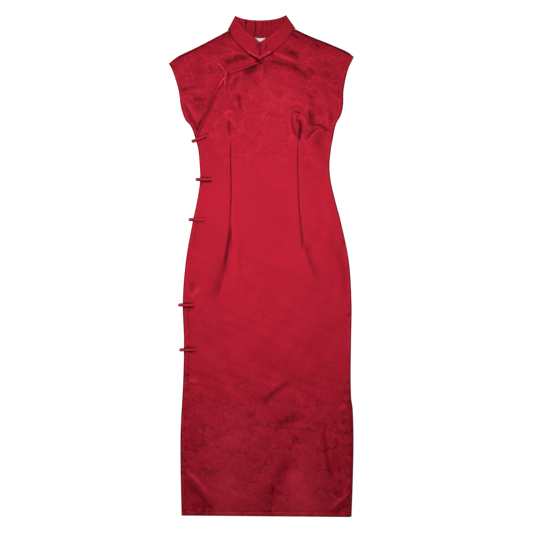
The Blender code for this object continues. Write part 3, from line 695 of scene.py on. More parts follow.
def front_top(x, y):
    """The outside of the big front, over the back panel and the small flap."""
    lift = flap_lift(x, y)
    below = 2 * CLOTH_WALL + SEAM_GAP + neck_height(x, y)
    flap_creases = CREASE_GAIN * crease_height(UNDERFLAP_CREASES, x, y)
    under_it = CLOTH_WALL + OVERLAP_GAP + np.maximum(0.0, flap_creases)
    left_away = inward(outer_left, x, y, 1.0)
    right_away = inward(outer_right, x, y, -1.0)
    left_slit, right_slit, bottom, sleeve = front_hems(y)
    loose = crown_height(x, y) + CREASE_GAIN * crease_height(FRONT_CREASES, x, y)
    loose = loose + dart_height(x, y) + loose_weave(x, y)
    loose = loose + turned_hem(left_away, LEFT_SLIT_HEM, y, LEFT_SLIT_SEED, left_slit)
    loose = loose + turned_hem(right_away, RIGHT_SLIT_HEM, y, RIGHT_SLIT_SEED, right_slit)
    loose = loose + turned_hem(y - HEM_Y, BOTTOM_HEM, x, BOTTOM_SEED, 0.7 * bottom)
    loose = loose + turned_hem(right_away, SLEEVE_HEM, y, RIGHT_SLEEVE_SEED, 0.6 * sleeve)
    loose = np.maximum(loose, -0.35 + 0.6 * crown_height(x, y) * lift)
    opening = inward(flap_left, x, y, 1.0)
    on_opening = ease((y - UNDERARM_Y) / 12.0) * ease((NECK_PIT_Y - 4 - y) / 8.0)
    bead = 1.2 * bell(opening - 3.0, 2.2) - 0.5 * bell(opening - 8.0, 2.5)
    edge = on_opening * (bead + rolled_edge(opening, 1.0, 2.2))
    edge = edge + above_pit(y) * rolled_edge(opening, 0.8, 2.5)
    top = below + lift * under_it + loose + edge
    top = turned_down(top, right_away, SEAM_Z, EDGE_ROLL)
    top = np.where(y <= UNDERARM_Y, turned_down(top, left_away, SEAM_Z, EDGE_ROLL), top)
    return turned_down(top, y - HEM_Y, SEAM_Z + 0.3, 3.0)


def cloth_map():
    """The height of whichever front piece shows, at every place of a fine grid."""
    x, y = np.meshgrid(
        np.arange(MAP_LEFT, MAP_RIGHT, MAP_STEP), np.arange(MAP_FOOT, MAP_TOP, MAP_STEP),
    )
    on_front = (flap_left(y) <= x) & (x <= outer_right(y))
    on_flap = (outer_left(y) <= x) & (x <= underflap_right(y)) & (y > UNDERFLAP_FOOT_Y)
    heights = np.full(x.shape, CLOTH_WALL)
    heights[on_flap] = underflap_top(x[on_flap], y[on_flap])
    heights[on_front] = front_top(x[on_front], y[on_front])
    return heights


def cloth_top(x, y):
    """The height of the cloth that shows at one point, read from the map."""
    i = min(max((y - MAP_FOOT) / MAP_STEP, 0.0), CLOTH_MAP.shape[0] - 1.001)
    j = min(max((x - MAP_LEFT) / MAP_STEP, 0.0), CLOTH_MAP.shape[1] - 1.001)
    row, col = int(i), int(j)
    v, u = i - row, j - col
    near = CLOTH_MAP[row:row + 2, col:col + 2]
    lower = (1 - u) * near[0, 0] + u * near[0, 1]
    upper = (1 - u) * near[1, 0] + u * near[1, 1]
    return float((1 - v) * lower + v * upper)


CLOTH_MAP = cloth_map()


# Painted shade and highlight that creases and edges leave in the satin's colour, from -1 in a deep hollow
# to 1 on a ridge

def edge_painted_shading(away, on_shoulder=0.0):
    """Painted shade in a faint line where the cloth turns down, with a faint painted highlight inside it;
    shoulders fall away further and get more painted shade.
    """
    turn = -0.32 * bell(away - 2.2, 1.9) + 0.15 * bell(away - 6.0, 2.4)
    shoulder = -0.75 * bell(away - 3.4, 2.6) - 0.26 * bell(away, 22.0)
    return turn * (1.0 - on_shoulder) + shoulder * on_shoulder


def hem_painted_shade(away, depth, along, seed, strength):
    """Painted shade in small dimples along a row of hidden stitches."""
    dimple = 0.45 + 0.75 * waver(along / 4.2, seed)
    return -strength * np.maximum(0.0, dimple) * bell(away - depth, 2.0)


def painted_shade_and_highlight(creases, x, y):
    """Creases as painted shade and painted highlight, levelling off where several meet."""
    painted_shading = crease_height(creases, x, y) / FULL_SHADE_HEIGHT
    return np.where(painted_shading < 0, 0.8 * np.tanh(painted_shading / 0.8), painted_shading)


def frog_painted_shadows(x, y):
    """Painted shadows close beside each frog, and along the sharpest fold."""
    total = crease_height(THIN_SHADOWS, x, y)
    for frog in SIDE_FROGS:
        ahead = heading(frog.strip_angle)
        start = float(outer_left(frog.y))
        t = np.clip((x - start) * ahead.x + (y - frog.y) * ahead.y, -2.0, STRIP_LENGTH)
        for aside, darkness in SIDE_FROG_SHADOWS:
            dx, dy = x - start - t * ahead.x, y - frog.y - aside - t * ahead.y
            total -= darkness * bell(np.hypot(dx, dy), SIDE_FROG_SHADOW_WIDTH)
    return total


# Painted shade and highlight on the small flap: creases, edge, sleeve hem, neck seam, under the front's
# rolled edge, and beside the frogs
def underflap_painted_shading(x, y):
    away = inward(outer_left, x, y, 1.0)
    sleeve = 0.35 * on_sleeve(y, LEFT_TIP_Y)
    painted_shading = painted_shade_and_highlight(UNDERFLAP_CREASES, x, y) + edge_painted_shading(away, ease((y - LEFT_TIP_Y) / 6.0))
    painted_shading = painted_shading + hem_painted_shade(away, SLEEVE_HEM, y, LEFT_SLEEVE_SEED, sleeve)
    # Painted shade along the neck seam, and painted shadow on the flap under the front's rolled edge
    neck = above_pit(y) * bell(inward(underflap_right, x, y, -1.0), 1.5)
    under_roll = bell(flap_left(np.clip(y, UNDERARM_Y, NECK_PIT_Y)) - x, 4.0)
    painted_shading = painted_shading + NECK_SEAM_PAINTED_SHADE * neck - 0.7 * under_roll * (y < NECK_PIT_Y)
    return painted_shading + frog_painted_shadows(x, y)


def swell_painted_light(x, y):
    """Broad swells of painted highlight where the satin catches the light, painted shade where a swell is
    below 0.
    """
    return sum(
        swell.height * bell(x - swell.x, swell.wide) * bell(y - swell.y, swell.long)
        for swell in LIGHT_SWELLS
    )


# Painted shade and highlight on the big front: creases, swells, edges, hem dimples, darts, the opening's
# bead, the neck seam and the frogs
def front_painted_shading(x, y):
    left_away = inward(outer_left, x, y, 1.0)
    right_away = inward(outer_right, x, y, -1.0)
    opening = inward(flap_left, x, y, 1.0)
    left_slit, right_slit, bottom, sleeve = front_hems(y)
    painted_shading = painted_shade_and_highlight(FRONT_CREASES, x, y) + swell_painted_light(x, y)
    painted_shading = painted_shading + edge_painted_shading(right_away, ease((y - RIGHT_TIP_Y) / 6.0))
    painted_shading = painted_shading + np.where(y <= UNDERARM_Y, edge_painted_shading(left_away), 0.0)
    painted_shading = painted_shading + edge_painted_shading(y - HEM_Y)
    painted_shading = painted_shading + hem_painted_shade(left_away, LEFT_SLIT_DIMPLES, y, LEFT_SLIT_SEED, left_slit)
    painted_shading = painted_shading + hem_painted_shade(right_away, RIGHT_SLIT_DIMPLES, y, RIGHT_SLIT_SEED, 1.3 * right_slit)
    painted_shading = painted_shading + hem_painted_shade(y - HEM_Y, BOTTOM_HEM, x, BOTTOM_SEED, 0.35 * bottom)
    painted_shading = painted_shading + hem_painted_shade(right_away, SLEEVE_HEM, y, RIGHT_SLEEVE_SEED, 0.35 * sleeve)
    # Painted shade in each dart's groove, with a faint painted highlight beside it
    for side, darkness in DART_PAINTED_SHADES:
        away = x - dart_line(side, y)
        painted_shading = painted_shading + on_dart(y) * (darkness * bell(away, 1.3) + 0.22 * bell(away - 3.6, 2.4))
    # Painted highlight on the opening's bead near the neck, painted shade on it lower down, and painted
    # shade just behind it
    on_opening = ease((y - UNDERARM_Y) / 12.0) * ease((NECK_PIT_Y - 2 - y) / 6.0)
    upper = ease((y - 440.0) / 30.0)
    painted_shading = painted_shading + on_opening * (1.15 * upper - 0.55) * bell(opening - 2.4, 2.4)
    painted_shading = painted_shading - on_opening * (0.25 + 0.35 * upper) * bell(opening - 7.6, 2.4)
    return painted_shading + NECK_SEAM_PAINTED_SHADE * above_pit(y) * bell(opening, 1.5) + frog_painted_shadows(x, y)


# Building sheets

def ladder(start, end, step):
    """Evenly spaced values from start up to, but without, end."""
    count = max(1, round((end - start) / step))
    return [start + (end - start) * i / count for i in range(count)]


def spaced(start, end, count, crowding):
    """count + 1 points from start to end, closer together where crowding is higher."""
    fine = np.linspace(start, end, 240)
    weight = crowding(fine)
    total = np.concatenate([[0.0], np.cumsum(0.5 * (weight[1:] + weight[:-1]))])
    return np.interp(np.linspace(0.0, total[-1], count + 1), total, fine)


def front_columns(y, left, right, counts):
    """Points across one row, close together at both edges, by the darts and at the bust."""
    width = right - left
    first = float(dart_line("left", y))
    second = float(dart_line("right", y))
    first = max(first, left + 0.22 * width)
    second = min(max(second, first + 0.22 * width), right - 0.22 * width)
    reach = min(1.0, width / 200.0)
    bust = float(ease((y - SWIRL_FOOT_Y) / 30.0) * ease((SWIRL_TOP_Y - y) / 30.0))
    trough = float(ease((y - TROUGH_FOOT_Y) / 30.0) * ease((TROUGH_TOP_Y - y) / 20.0))

    def close_to(away, width):
        return np.exp(-np.abs(away) / (width * reach))

    def crowding(x):
        edges = close_to(x - left, 3.0) + close_to(right - x, 3.0)
        darts = close_to(x - first, 4.0) + close_to(x - second, 4.0)
        swirl = bust * np.exp(-((x - SWIRL_X) / 42.0) ** 4)
        fold = trough * np.exp(-((x - TROUGH_X) / 22.0) ** 4)
        return 1.0 + 6.0 * edges + 4.0 * darts + 1.6 * swirl + 1.2 * fold

    parts = [
        spaced(left, first, counts[0], crowding)[:-1],
        spaced(first, second, counts[1], crowding)[:-1],
        spaced(second, right, counts[2], crowding),
    ]
    return np.concatenate(parts)


def mesh_from_grid(name, x, y, z, painted_shading):
    """An open sheet mesh from arrays of the same shape, rows running upwards, with painted shade and
    highlight on its points.
    """
    rows, cols = x.shape
    points = np.stack([x, y, z], axis=2).reshape(-1, 3) * MM
    index = np.arange(rows * cols).reshape(rows, cols)
    quads = np.stack([index[:-1, :-1], index[:-1, 1:], index[1:, 1:], index[1:, :-1]], axis=2)
    mesh = bpy.data.meshes.new(name)
    mesh.from_pydata(points.tolist(), [], quads.reshape(-1, 4).tolist())
    shade = mesh.attributes.new("painted_shade_and_highlight", "FLOAT", "POINT")
    shade.data.foreach_set("value", np.clip(painted_shading, -1.2, 1.0).reshape(-1).astype(np.float32))
    return mesh


def applied(piece):
    """The piece with its modifiers turned into plain mesh."""
    bpy.context.view_layer.update()
    graph = bpy.context.evaluated_depsgraph_get()
    mesh = bpy.data.meshes.new_from_object(piece.evaluated_get(graph))
    piece.modifiers.clear()
    piece.data = mesh
    return piece


def add_piece(name, mesh, material):
    piece = bpy.data.objects.new(name, mesh)
    bpy.context.scene.collection.objects.link(piece)
    mesh.materials.clear()
    mesh.materials.append(material)
    return piece


def sheet_piece(name, mesh, wall, offset, material):
    welded = bmesh.new()
    welded.from_mesh(mesh)
    bmesh.ops.remove_doubles(welded, verts=welded.verts, dist=0.01 * MM)
    welded.to_mesh(mesh)
    welded.free()
    piece = add_piece(name, mesh, material)
    thicken = piece.modifiers.new("wall", "SOLIDIFY")
    thicken.thickness = wall * MM
    thicken.offset = offset
    applied(piece)
    piece.data.shade_smooth()
    piece.data.set_sharp_from_angle(angle=math.radians(50))
    return piece


def sheet_area(x, y):
    """The flat area of a grid of points, in square metres."""
    area = 0.5 * ((x[:-1, 1:] - x[:-1, :-1]) + (x[1:, 1:] - x[1:, :-1])) * (y[1:, 1:] - y[:-1, 1:])
    return float(np.abs(area).sum()) * MM * MM


def level_rows(stations, xs):
    """The height up the dress of every point of a grid whose rows lie at the stations."""
    return np.repeat(np.array(stations, float)[:, None], xs.shape[1], axis=1)


def build_front(material):
    stations = (
        ladder(HEM_Y, HEM_Y + 16, 1.0) + ladder(HEM_Y + 16, 300, 4.7) + ladder(300, UNDERARM_Y, 2.3)
        + ladder(UNDERARM_Y, 410, 2.2) + ladder(410, 478, 2.8) + ladder(478, NECK_PIT_Y, 1.7)
        + ladder(NECK_PIT_Y, RIGHT_TIP_Y, 2.2) + ladder(RIGHT_TIP_Y, RIGHT_NECK_POINT[1], 2.2)
        + [RIGHT_NECK_POINT[1]]
    )
    xs = np.array([
        front_columns(y, float(flap_left(y)), float(outer_right(y)), (42, 48, 48)) for y in stations
    ])
    ys = level_rows(stations, xs)
    name = "front_panel_cloth"
    mesh = mesh_from_grid(name, xs, slanted(xs, ys), front_top(xs, ys), front_painted_shading(xs, ys))
    return sheet_piece(name, mesh, SHELL_WALL, -1.0, material), sheet_area(xs, ys)


def build_underflap(material):
    stations = (
        ladder(UNDERFLAP_FOOT_Y, UNDERARM_Y, 3.0) + ladder(UNDERARM_Y, LEFT_TIP_Y, 2.6)
        + ladder(LEFT_TIP_Y, NECK_PIT_Y, 2.0) + ladder(NECK_PIT_Y, LEFT_NECK_POINT[1], 2.2)
        + [LEFT_NECK_POINT[1]]
    )
    rows = []
    for y in stations:
        left, right = float(outer_left(y)), float(underflap_right(y))
        squeeze = min(1.0, (right - left) / 60.0)
        edge = [d * squeeze for d in EDGE_STEPS]
        inner = np.linspace(left + edge[-1], right, 44)
        rows.append([left + d for d in edge[:-1]] + inner.tolist())
    xs = np.array(rows)
    ys = level_rows(stations, xs)
    name = "front_underflap_cloth"
    mesh = mesh_from_grid(name, xs, ys, underflap_top(xs, ys), underflap_painted_shading(xs, ys))
    return sheet_piece(name, mesh, SHELL_WALL, -1.0, material), sheet_area(xs, ys)


def back_half(neck_point, outer, tip_y, side):
    rise = neck_point[1] - BACK_NECK_Y
    stations = (
        ladder(HEM_Y + 1.5, UNDERARM_Y, 8.0) + ladder(UNDERARM_Y, tip_y, 4.0)
        + ladder(tip_y, BACK_NECK_Y, 4.0) + [BACK_NECK_Y + rise * (i / 14) ** 2 for i in range(15)]
    )
    rows = []
    for y in stations:
        inner = 0.0 if y <= BACK_NECK_Y else neck_point[0] * math.sqrt((y - BACK_NECK_Y) / rise)
        reveal = SLIT_REVEAL * float(ease((SLIT_TOP_Y - y) / 60.0)) if side > 0 else 0.0
        bare = reveal / SLIT_REVEAL
        end = float(outer(y)) + reveal - side * BACK_INSET * (1.0 - bare)
        squeeze = min(1.0, abs(end - inner) / 60.0)
        edge = [end - side * d * squeeze for d in EDGE_STEPS[:8]]
        row = np.linspace(inner, edge[-1], 16).tolist() + edge[-2::-1]
        rows.append(row if side > 0 else row[::-1])
    xs = np.array(rows)
    ys = level_rows(stations, xs)
    away = np.abs(xs - np.array([[row[-1] if side > 0 else row[0]] for row in rows]))
    zs = CLOTH_WALL + 0.6 * rolled_edge(away, 0.9, 3.0)
    return xs, ys, zs


def build_back(material):
    joined = bmesh.new()
    area = 0.0
    for neck, outer, tip, side in (
        (LEFT_NECK_POINT, outer_left, LEFT_TIP_Y, -1), (RIGHT_NECK_POINT, outer_right, RIGHT_TIP_Y, 1),
    ):
        xs, ys, zs = back_half(neck, outer, tip, side)
        # The whole back is painted evenly darker, as painted shade under the front
        painted_shading = np.full(xs.shape, BACK_PAINTED_SHADE)
        area += sheet_area(xs, ys)
        joined.from_mesh(mesh_from_grid("half", xs, slanted(xs, ys), zs, painted_shading))
    mesh = bpy.data.meshes.new("back_panel_cloth")
    joined.to_mesh(mesh)
    joined.free()
    piece = sheet_piece("back_panel_cloth", mesh, CLOTH_WALL - 0.1, -1.0, material)
    for vertex in piece.data.vertices:
        vertex.co.z = max(vertex.co.z, 0.0)
    return piece, area


# The collar

def collar_section(lower, upper, z, swell, sideways=(0.0, 0.0)):
    run = Vector((upper[0] - lower[0], upper[1] - lower[1]))
    start = Vector(lower) + run.normalized() * COLLAR_SEAM_GAP
    lowest = 0.5 * COLLAR_WALL + 0.02
    points = []
    for i in range(COLLAR_ACROSS + 1):
        share = i / COLLAR_ACROSS
        place = start + (Vector(upper) - start) * share + Vector(sideways)
        points.append((place.x, place.y, max(z + swell(place.x, place.y, share), lowest)))
    return points


def front_collar(neckline, neck_point, top_edge, slit_side):
    sections = []
    for i in range(COLLAR_HALF_STEPS + 1):
        share = i / COLLAR_HALF_STEPS
        y = NECK_PIT_Y + (neck_point[1] - NECK_PIT_Y) * share
        shift = slit_side * 0.5 * COLLAR_SLIT * (1.0 - share)
        upper = band_point(top_edge, share)
        crown = COLLAR_CROWN * math.sin(math.pi * share)

        def swell(x, y, v, crown=crown):
            lip = 0.35 * bell(1.0 - v, 0.05)
            seam = -0.5 * bell(v, 0.05)
            crease = float(crease_height(COLLAR_CREASES, np.array([x]), np.array([y]))[0])
            return crown * math.sin(math.pi * 0.5 * v) + lip + seam + crease

        sections.append(collar_section(
            (float(edge_x(neckline, y)) + shift, y), (upper[0] + shift, upper[1]), COLLAR_FRONT_Z, swell,
        ))
    return sections


def collar_fold(neck_point, top_corner, outward):
    run = Vector((top_corner[0] - neck_point[0], top_corner[1] - neck_point[1])).normalized()
    side = Vector((run.y, -run.x)) * outward
    radius = 0.5 * (COLLAR_FRONT_Z - COLLAR_BACK_Z)
    middle = 0.5 * (COLLAR_FRONT_Z + COLLAR_BACK_Z)
    sections = []
    for i in range(1, COLLAR_FOLD_STEPS):
        angle = math.pi * i / COLLAR_FOLD_STEPS
        z = middle + radius * math.cos(angle)
        sideways = side * radius * math.sin(angle)
        sections.append(collar_section(neck_point, top_corner, z, lambda x, y, v: 0.0, sideways))
    return sections


def back_swell(x, y, share):
    """Buckles where the back of the band is pressed flat."""
    waves = sum(
        b.height * bell(x - b.x, b.half_width) * float(ease((share - b.foot) / 0.3))
        for b in BACK_BUCKLES
    )
    return waves + 0.3 * bell(1.0 - share, 0.05)


def back_collar():
    sections = []
    start, end = RIGHT_NECK_POINT[0], LEFT_NECK_POINT[0]
    for i in range(COLLAR_BACK_STEPS + 1):
        share = i / COLLAR_BACK_STEPS
        x = start + (end - start) * share
        upper = band_point(COLLAR_TOP_BACK, share)
        sections.append(collar_section((x, back_neck_y(x)), upper, COLLAR_BACK_Z, back_swell))
    return sections


def collar_painted_shading(grid):
    """The inside of the standing band and its soft folds get painted shade, darkest in the buckles; the
    front halves get painted shade at their edges, slit and folds and a painted highlight under the top.
    """
    painted_shading = np.full(grid.shape[:2], COLLAR_FOLD_PAINTED_SHADE)
    share = np.linspace(0.0, 1.0, COLLAR_ACROSS + 1)[None, :]
    first = COLLAR_HALF_STEPS + COLLAR_FOLD_STEPS
    inside = slice(first, first + COLLAR_BACK_STEPS + 1)
    x = grid[inside, :, 0]
    shaded = -0.24 - 0.30 * ease((0.6 - share) / 0.6) + 0.4 * bell(1.0 - share, 0.04)
    for buckle in BACK_BUCKLES:
        depth = 0.75 * abs(buckle.height) * ease((share - buckle.foot) / 0.25)
        shaded = shaded - depth * bell(x - buckle.x, 0.7 * buckle.half_width)
    painted_shading[inside] = shaded
    for half in (slice(0, COLLAR_HALF_STEPS), slice(len(grid) - COLLAR_HALF_STEPS, len(grid))):
        xs, ys = grid[half, :, 0], grid[half, :, 1]
        # Front halves: painted shade at the neck seam, top edge, slit and turn, and a painted highlight
        # just under the top edge
        edges = NECK_SEAM_PAINTED_SHADE * bell(share, 0.045) - 0.8 * bell(1.0 - share, 0.035)
        top_highlight = 0.2 * bell(0.9 - share, 0.05)
        slit = -1.5 * bell(xs - NECK_PIT_X, 1.5)
        fold_x = np.where(xs > 0, RIGHT_NECK_POINT[0], LEFT_NECK_POINT[0])
        to_fold = np.hypot(xs - fold_x, 0.3 * (ys - COLLAR_FOLD_Y))
        turn = -0.75 * bell(to_fold, 7.0)
        creases = crease_height(COLLAR_CREASES, xs, ys) / 0.6
        painted_shading[half] = edges + top_highlight + slit + turn + creases + frog_painted_shadows(xs, ys)
    return painted_shading


def build_collar(material):
    right = front_collar(RIGHT_NECKLINE, RIGHT_NECK_POINT, COLLAR_TOP_RIGHT, 1.0)
    left = front_collar(LEFT_NECKLINE, LEFT_NECK_POINT, COLLAR_TOP_LEFT, -1.0)
    right_fold = collar_fold(RIGHT_NECK_POINT, band_point(COLLAR_TOP_RIGHT, 1.0), 1.0)
    left_fold = collar_fold(LEFT_NECK_POINT, band_point(COLLAR_TOP_LEFT, 1.0), -1.0)
    grid = np.array(right + right_fold + back_collar() + left_fold[::-1] + left[::-1])
    xs, ys, zs = grid[:, :, 0], grid[:, :, 1], grid[:, :, 2]
    mesh = mesh_from_grid("collar_cloth", xs, ys, zs, collar_painted_shading(grid))
    piece = sheet_piece("collar_cloth", mesh, COLLAR_WALL, 0.0, material)
    steps = np.linalg.norm(np.diff(grid[:, :, :2], axis=0), axis=2)
    across = np.linalg.norm(grid[:, -1, :2] - grid[:, 0, :2], axis=1).mean()
    length = steps.sum(axis=0)
    flat = (float(length.max()) * MM, float(across) * MM)
    return piece, flat, float(length.mean() * across) * MM * MM


def build_label(material):
    xs, ys = np.meshgrid(
        np.linspace(-LABEL_WIDTH / 2, LABEL_WIDTH / 2, 40) + NECK_PIT_X + 1.0,
        np.linspace(BACK_NECK_Y - SEAM_GAP - LABEL_DEPTH, BACK_NECK_Y - SEAM_GAP, 20),
    )
    curl = 0.2 * np.sin(xs / 9.0) * ease((BACK_NECK_Y - ys) / 12.0)
    zs = CLOTH_WALL + SEAM_GAP + LABEL_WALL + 0.2 + curl
    mesh = mesh_from_grid("neck_label_tape", xs, ys, zs, np.zeros(xs.shape))
    return sheet_piece("neck_label_tape", mesh, LABEL_WALL, -1.0, material)


# Cords

def ring_faces(rings, sides, closed=False):
    """Four-sided faces between neighbouring rings of corners."""
    faces = []
    for i in range(rings if closed else rings - 1):
        j = (i + 1) % rings
        for k in range(sides):
            n = (k + 1) % sides
            faces.append((i * sides + k, i * sides + n, j * sides + n, j * sides + k))
    return faces


def tube(points, radius, sides=12, closed=False):
    """Corners and faces of a round cord through points, its ends closed by low domes."""
    line = np.asarray(points, float)
    count = len(line)
    if closed:
        ahead = np.roll(line, -1, axis=0) - np.roll(line, 1, axis=0)
    else:
        ahead = np.gradient(line, axis=0)
    ahead /= np.linalg.norm(ahead, axis=1)[:, None]
    up = np.tile([0.0, 0.0, 1.0], (count, 1))
    steep = np.abs(ahead[:, 2]) > 0.9
    up[steep] = [1.0, 0.0, 0.0]
    aside = np.cross(up, ahead)
    aside /= np.linalg.norm(aside, axis=1)[:, None]
    if closed or steep.any():
        for i in range(1, count):
            turned = aside[i - 1] - ahead[i] * (aside[i - 1] @ ahead[i])
            aside[i] = turned / np.linalg.norm(turned)
    above = np.cross(ahead, aside)
    turns = np.linspace(0, 2 * math.pi, sides, endpoint=False)
    ring = np.cos(turns)[:, None, None] * aside[None] + np.sin(turns)[:, None, None] * above[None]
    corners = (line[None] + radius * ring).transpose(1, 0, 2).reshape(-1, 3)
    faces = ring_faces(count, sides, closed)
    corners = corners.tolist()
    if not closed:
        for end, row, out in ((0, 0, -1.0), (count - 1, (count - 1) * sides, 1.0)):
            corners.append((line[end] + out * 0.55 * radius * ahead[end]).tolist())
            tip = len(corners) - 1
            for k in range(sides):
                pair = (row + (k + 1) % sides, row + k)
                faces.append((tip, *pair) if out < 0 else (tip, *pair[::-1]))
    return corners, faces


def off_spine(spine, x, y):
    """Distance from a frog's middle line, as a share of its half width there."""
    along = (x - spine.start.x) * spine.ahead.x + (y - spine.start.y) * spine.ahead.y
    on_line = np.clip(along, 0.0, spine.length)
    dx = x - spine.start.x - on_line * spine.ahead.x
    dy = y - spine.start.y - on_line * spine.ahead.y
    away = np.hypot(dx, dy)
    return away / np.where(along < spine.ball_radius, spine.ball_radius, spine.half_width)


def joined_mesh(name, parts, spine):
    """One mesh from several lists of corners and faces, in millimetres, with painted light along its
    spine and painted shade at its sides.
    """
    corners, faces = [], []
    for some_corners, some_faces in parts:
        first = len(corners)
        corners += some_corners
        faces += [tuple(first + i for i in face) for face in some_faces]
    mesh = bpy.data.meshes.new(name)
    mesh.from_pydata([tuple(c * MM for c in p) for p in corners], [], faces)
    fixed = bmesh.new()
    fixed.from_mesh(mesh)
    bmesh.ops.recalc_face_normals(fixed, faces=fixed.faces)
    fixed.to_mesh(mesh)
    fixed.free()
    mesh.shade_smooth()
    x, y, up_the_dress = np.array([(v.co.x / MM, v.co.y / MM, v.normal.y) for v in mesh.vertices]).T
    # Painted light on the cord: lightest on the spine, painted shade at the sides, lighter on faces
    # turned up the dress toward the light
    lit = spine.light - 2.1 * off_spine(spine, x, y) ** 2 + 0.25 * up_the_dress
    shade = mesh.attributes.new("painted_shade_and_highlight", "FLOAT", "POINT")
    shade.data.foreach_set("value", np.clip(lit, -1.2, 1.2).astype(np.float32))
    return mesh


def heading(angle):
    return Vector((math.cos(math.radians(angle)), math.sin(math.radians(angle))))


def seat(x, y, radius, least):
    """The height of a cord's middle where it lies on the cloth."""
    around = [(0, 0), (radius, 0), (-radius, 0), (0, radius), (0, -radius)]
    top = max(cloth_top(x + dx, y + dy) for dx, dy in around)
    return max(least, top) + 0.85 * radius


def hairpin(middle, angle, start, end, half_width, height_at, step=0.9):
    """Two cords side by side, joined by a half turn past the second distance."""
    ahead = heading(angle)
    aside = Vector((-ahead.y, ahead.x))
    onward = 1.0 if end > start else -1.0
    count = max(2, round(abs(end - start) / step))
    legs = [start + (end - start) * i / count for i in range(count + 1)]
    plan = [(d, half_width) for d in legs]
    for swing in np.radians(np.arange(15, 180, 15)):
        plan.append((end + onward * half_width * math.sin(swing), half_width * math.cos(swing)))
    plan += [(d, -half_width) for d in reversed(legs)]
    points = []
    for along, across in plan:
        place = middle + ahead * along + aside * across
        points.append((place.x, place.y, height_at(place.x, place.y)))
    return eased_heights(points)


def eased_heights(points):
    """The same points with their heights evened out, as a stiff cord lies."""
    z = np.array([p[2] for p in points])
    padded = np.pad(z, 4, mode="edge")
    high = np.array([padded[i:i + 9].max() for i in range(len(z))])
    padded = np.pad(high, 3, mode="edge")
    even = np.convolve(padded, np.ones(7) / 7, mode="valid")
    return [(p[0], p[1], float(h)) for p, h in zip(points, np.maximum(even, z))]


def knotted_ball(middle, angle, z):
    """A button knot: one cord woven over and under itself round a soft core."""
    t = np.linspace(0, 2 * math.pi, 220, endpoint=False)
    turn = KNOT_TURNS * t
    climb = np.radians(KNOT_TILT) * np.cos(KNOT_CLIMBS * t)
    reach = BALL_RADIUS - KNOT_CORD + 0.32 * np.sin(2 * KNOT_CLIMBS * t + 0.6)
    rings, sides = 9, 14
    tilt = np.linspace(0, math.pi, rings)[:, None]
    spin = np.linspace(0, 2 * math.pi, sides, endpoint=False)[None, :]
    core = KNOT_CORE * BALL_RADIUS
    c, s = math.cos(math.radians(angle)), math.sin(math.radians(angle))

    def set_down(along, across, up):
        return np.stack([
            middle.x + along * c - across * s, middle.y + along * s + across * c, z + up,
        ], axis=-1).reshape(-1, 3)

    cord = set_down(
        BALL_LENGTH * reach * np.sin(climb), reach * np.cos(climb) * np.cos(turn),
        reach * np.cos(climb) * np.sin(turn),
    )
    heart = set_down(
        BALL_LENGTH * core * np.cos(tilt) * np.ones_like(spin), core * np.sin(tilt) * np.cos(spin),
        core * np.sin(tilt) * np.sin(spin),
    )
    return [tube(cord, KNOT_CORD, 10, closed=True), (heart.tolist(), ring_faces(rings, sides))]


def whipping(middle, angle, distance, half_width, height_at):
    """Thread bound three times round both cords."""
    ahead = heading(angle)
    aside = Vector((-ahead.y, ahead.x))
    parts = []
    for turn in WHIPPING_TURNS:
        loop = []
        place = middle + ahead * (distance + turn)
        z = height_at(place.x, place.y)
        for k in range(20):
            swing = 2 * math.pi * k / 20
            spot = place + aside * (half_width + WHIPPING_REACH) * math.cos(swing)
            loop.append((spot.x, spot.y, z + WHIPPING_HEIGHT * math.sin(swing)))
        parts.append(tube(loop, WHIPPING_THREAD, 6, closed=True))
    return parts


def seam_line(middle, ahead, distances, height_at):
    """Where a frog's hidden seam runs, between its two cords."""
    places = [middle + ahead * float(d) for d in distances]
    return [(place.x, place.y, height_at(place.x, place.y) + THREAD_LIFT) for place in places]


def front_frog(frog, least):
    middle = Vector((frog.x, frog.y))

    def on_cloth(x, y):
        return seat(x, y, CORD_RADIUS, least)

    ball_z = seat(frog.x, frog.y, BALL_RADIUS, least)
    ball_end = BALL_RADIUS * BALL_LENGTH
    strip_end = ball_end + STRIP_LENGTH - CORD_SPACING
    strip = hairpin(middle, frog.strip_angle, 0.5 * BALL_RADIUS, strip_end, CORD_SPACING, on_cloth)
    near = ball_end + 0.3 + CORD_RADIUS + CORD_SPACING
    loop = hairpin(middle, frog.loop_angle, ball_end + STRIP_LENGTH, near, CORD_SPACING, on_cloth)
    bound = whipping(middle, frog.strip_angle, ball_end + 1.2, CORD_SPACING, on_cloth)
    strip_ahead, loop_ahead = heading(frog.strip_angle), heading(frog.loop_angle)
    seams = [
        seam_line(middle, ahead, np.arange(start, strip_end + 0.1, 1.0), on_cloth)
        for ahead, start in ((strip_ahead, ball_end + 3.0), (loop_ahead, ball_end + 8.0))
    ]
    knot = [tube(strip, CORD_RADIUS)] + knotted_ball(middle, frog.strip_angle, ball_z) + bound
    across = (CORD_SPACING + CORD_RADIUS, BALL_RADIUS, FRONT_FROG_LIGHT)
    return FrogPlan(
        frog.name, knot, [tube(loop, CORD_RADIUS)], seams, Spine(middle, strip_ahead, strip_end, *across),
        Spine(middle, loop_ahead, ball_end + STRIP_LENGTH, *across),
    )


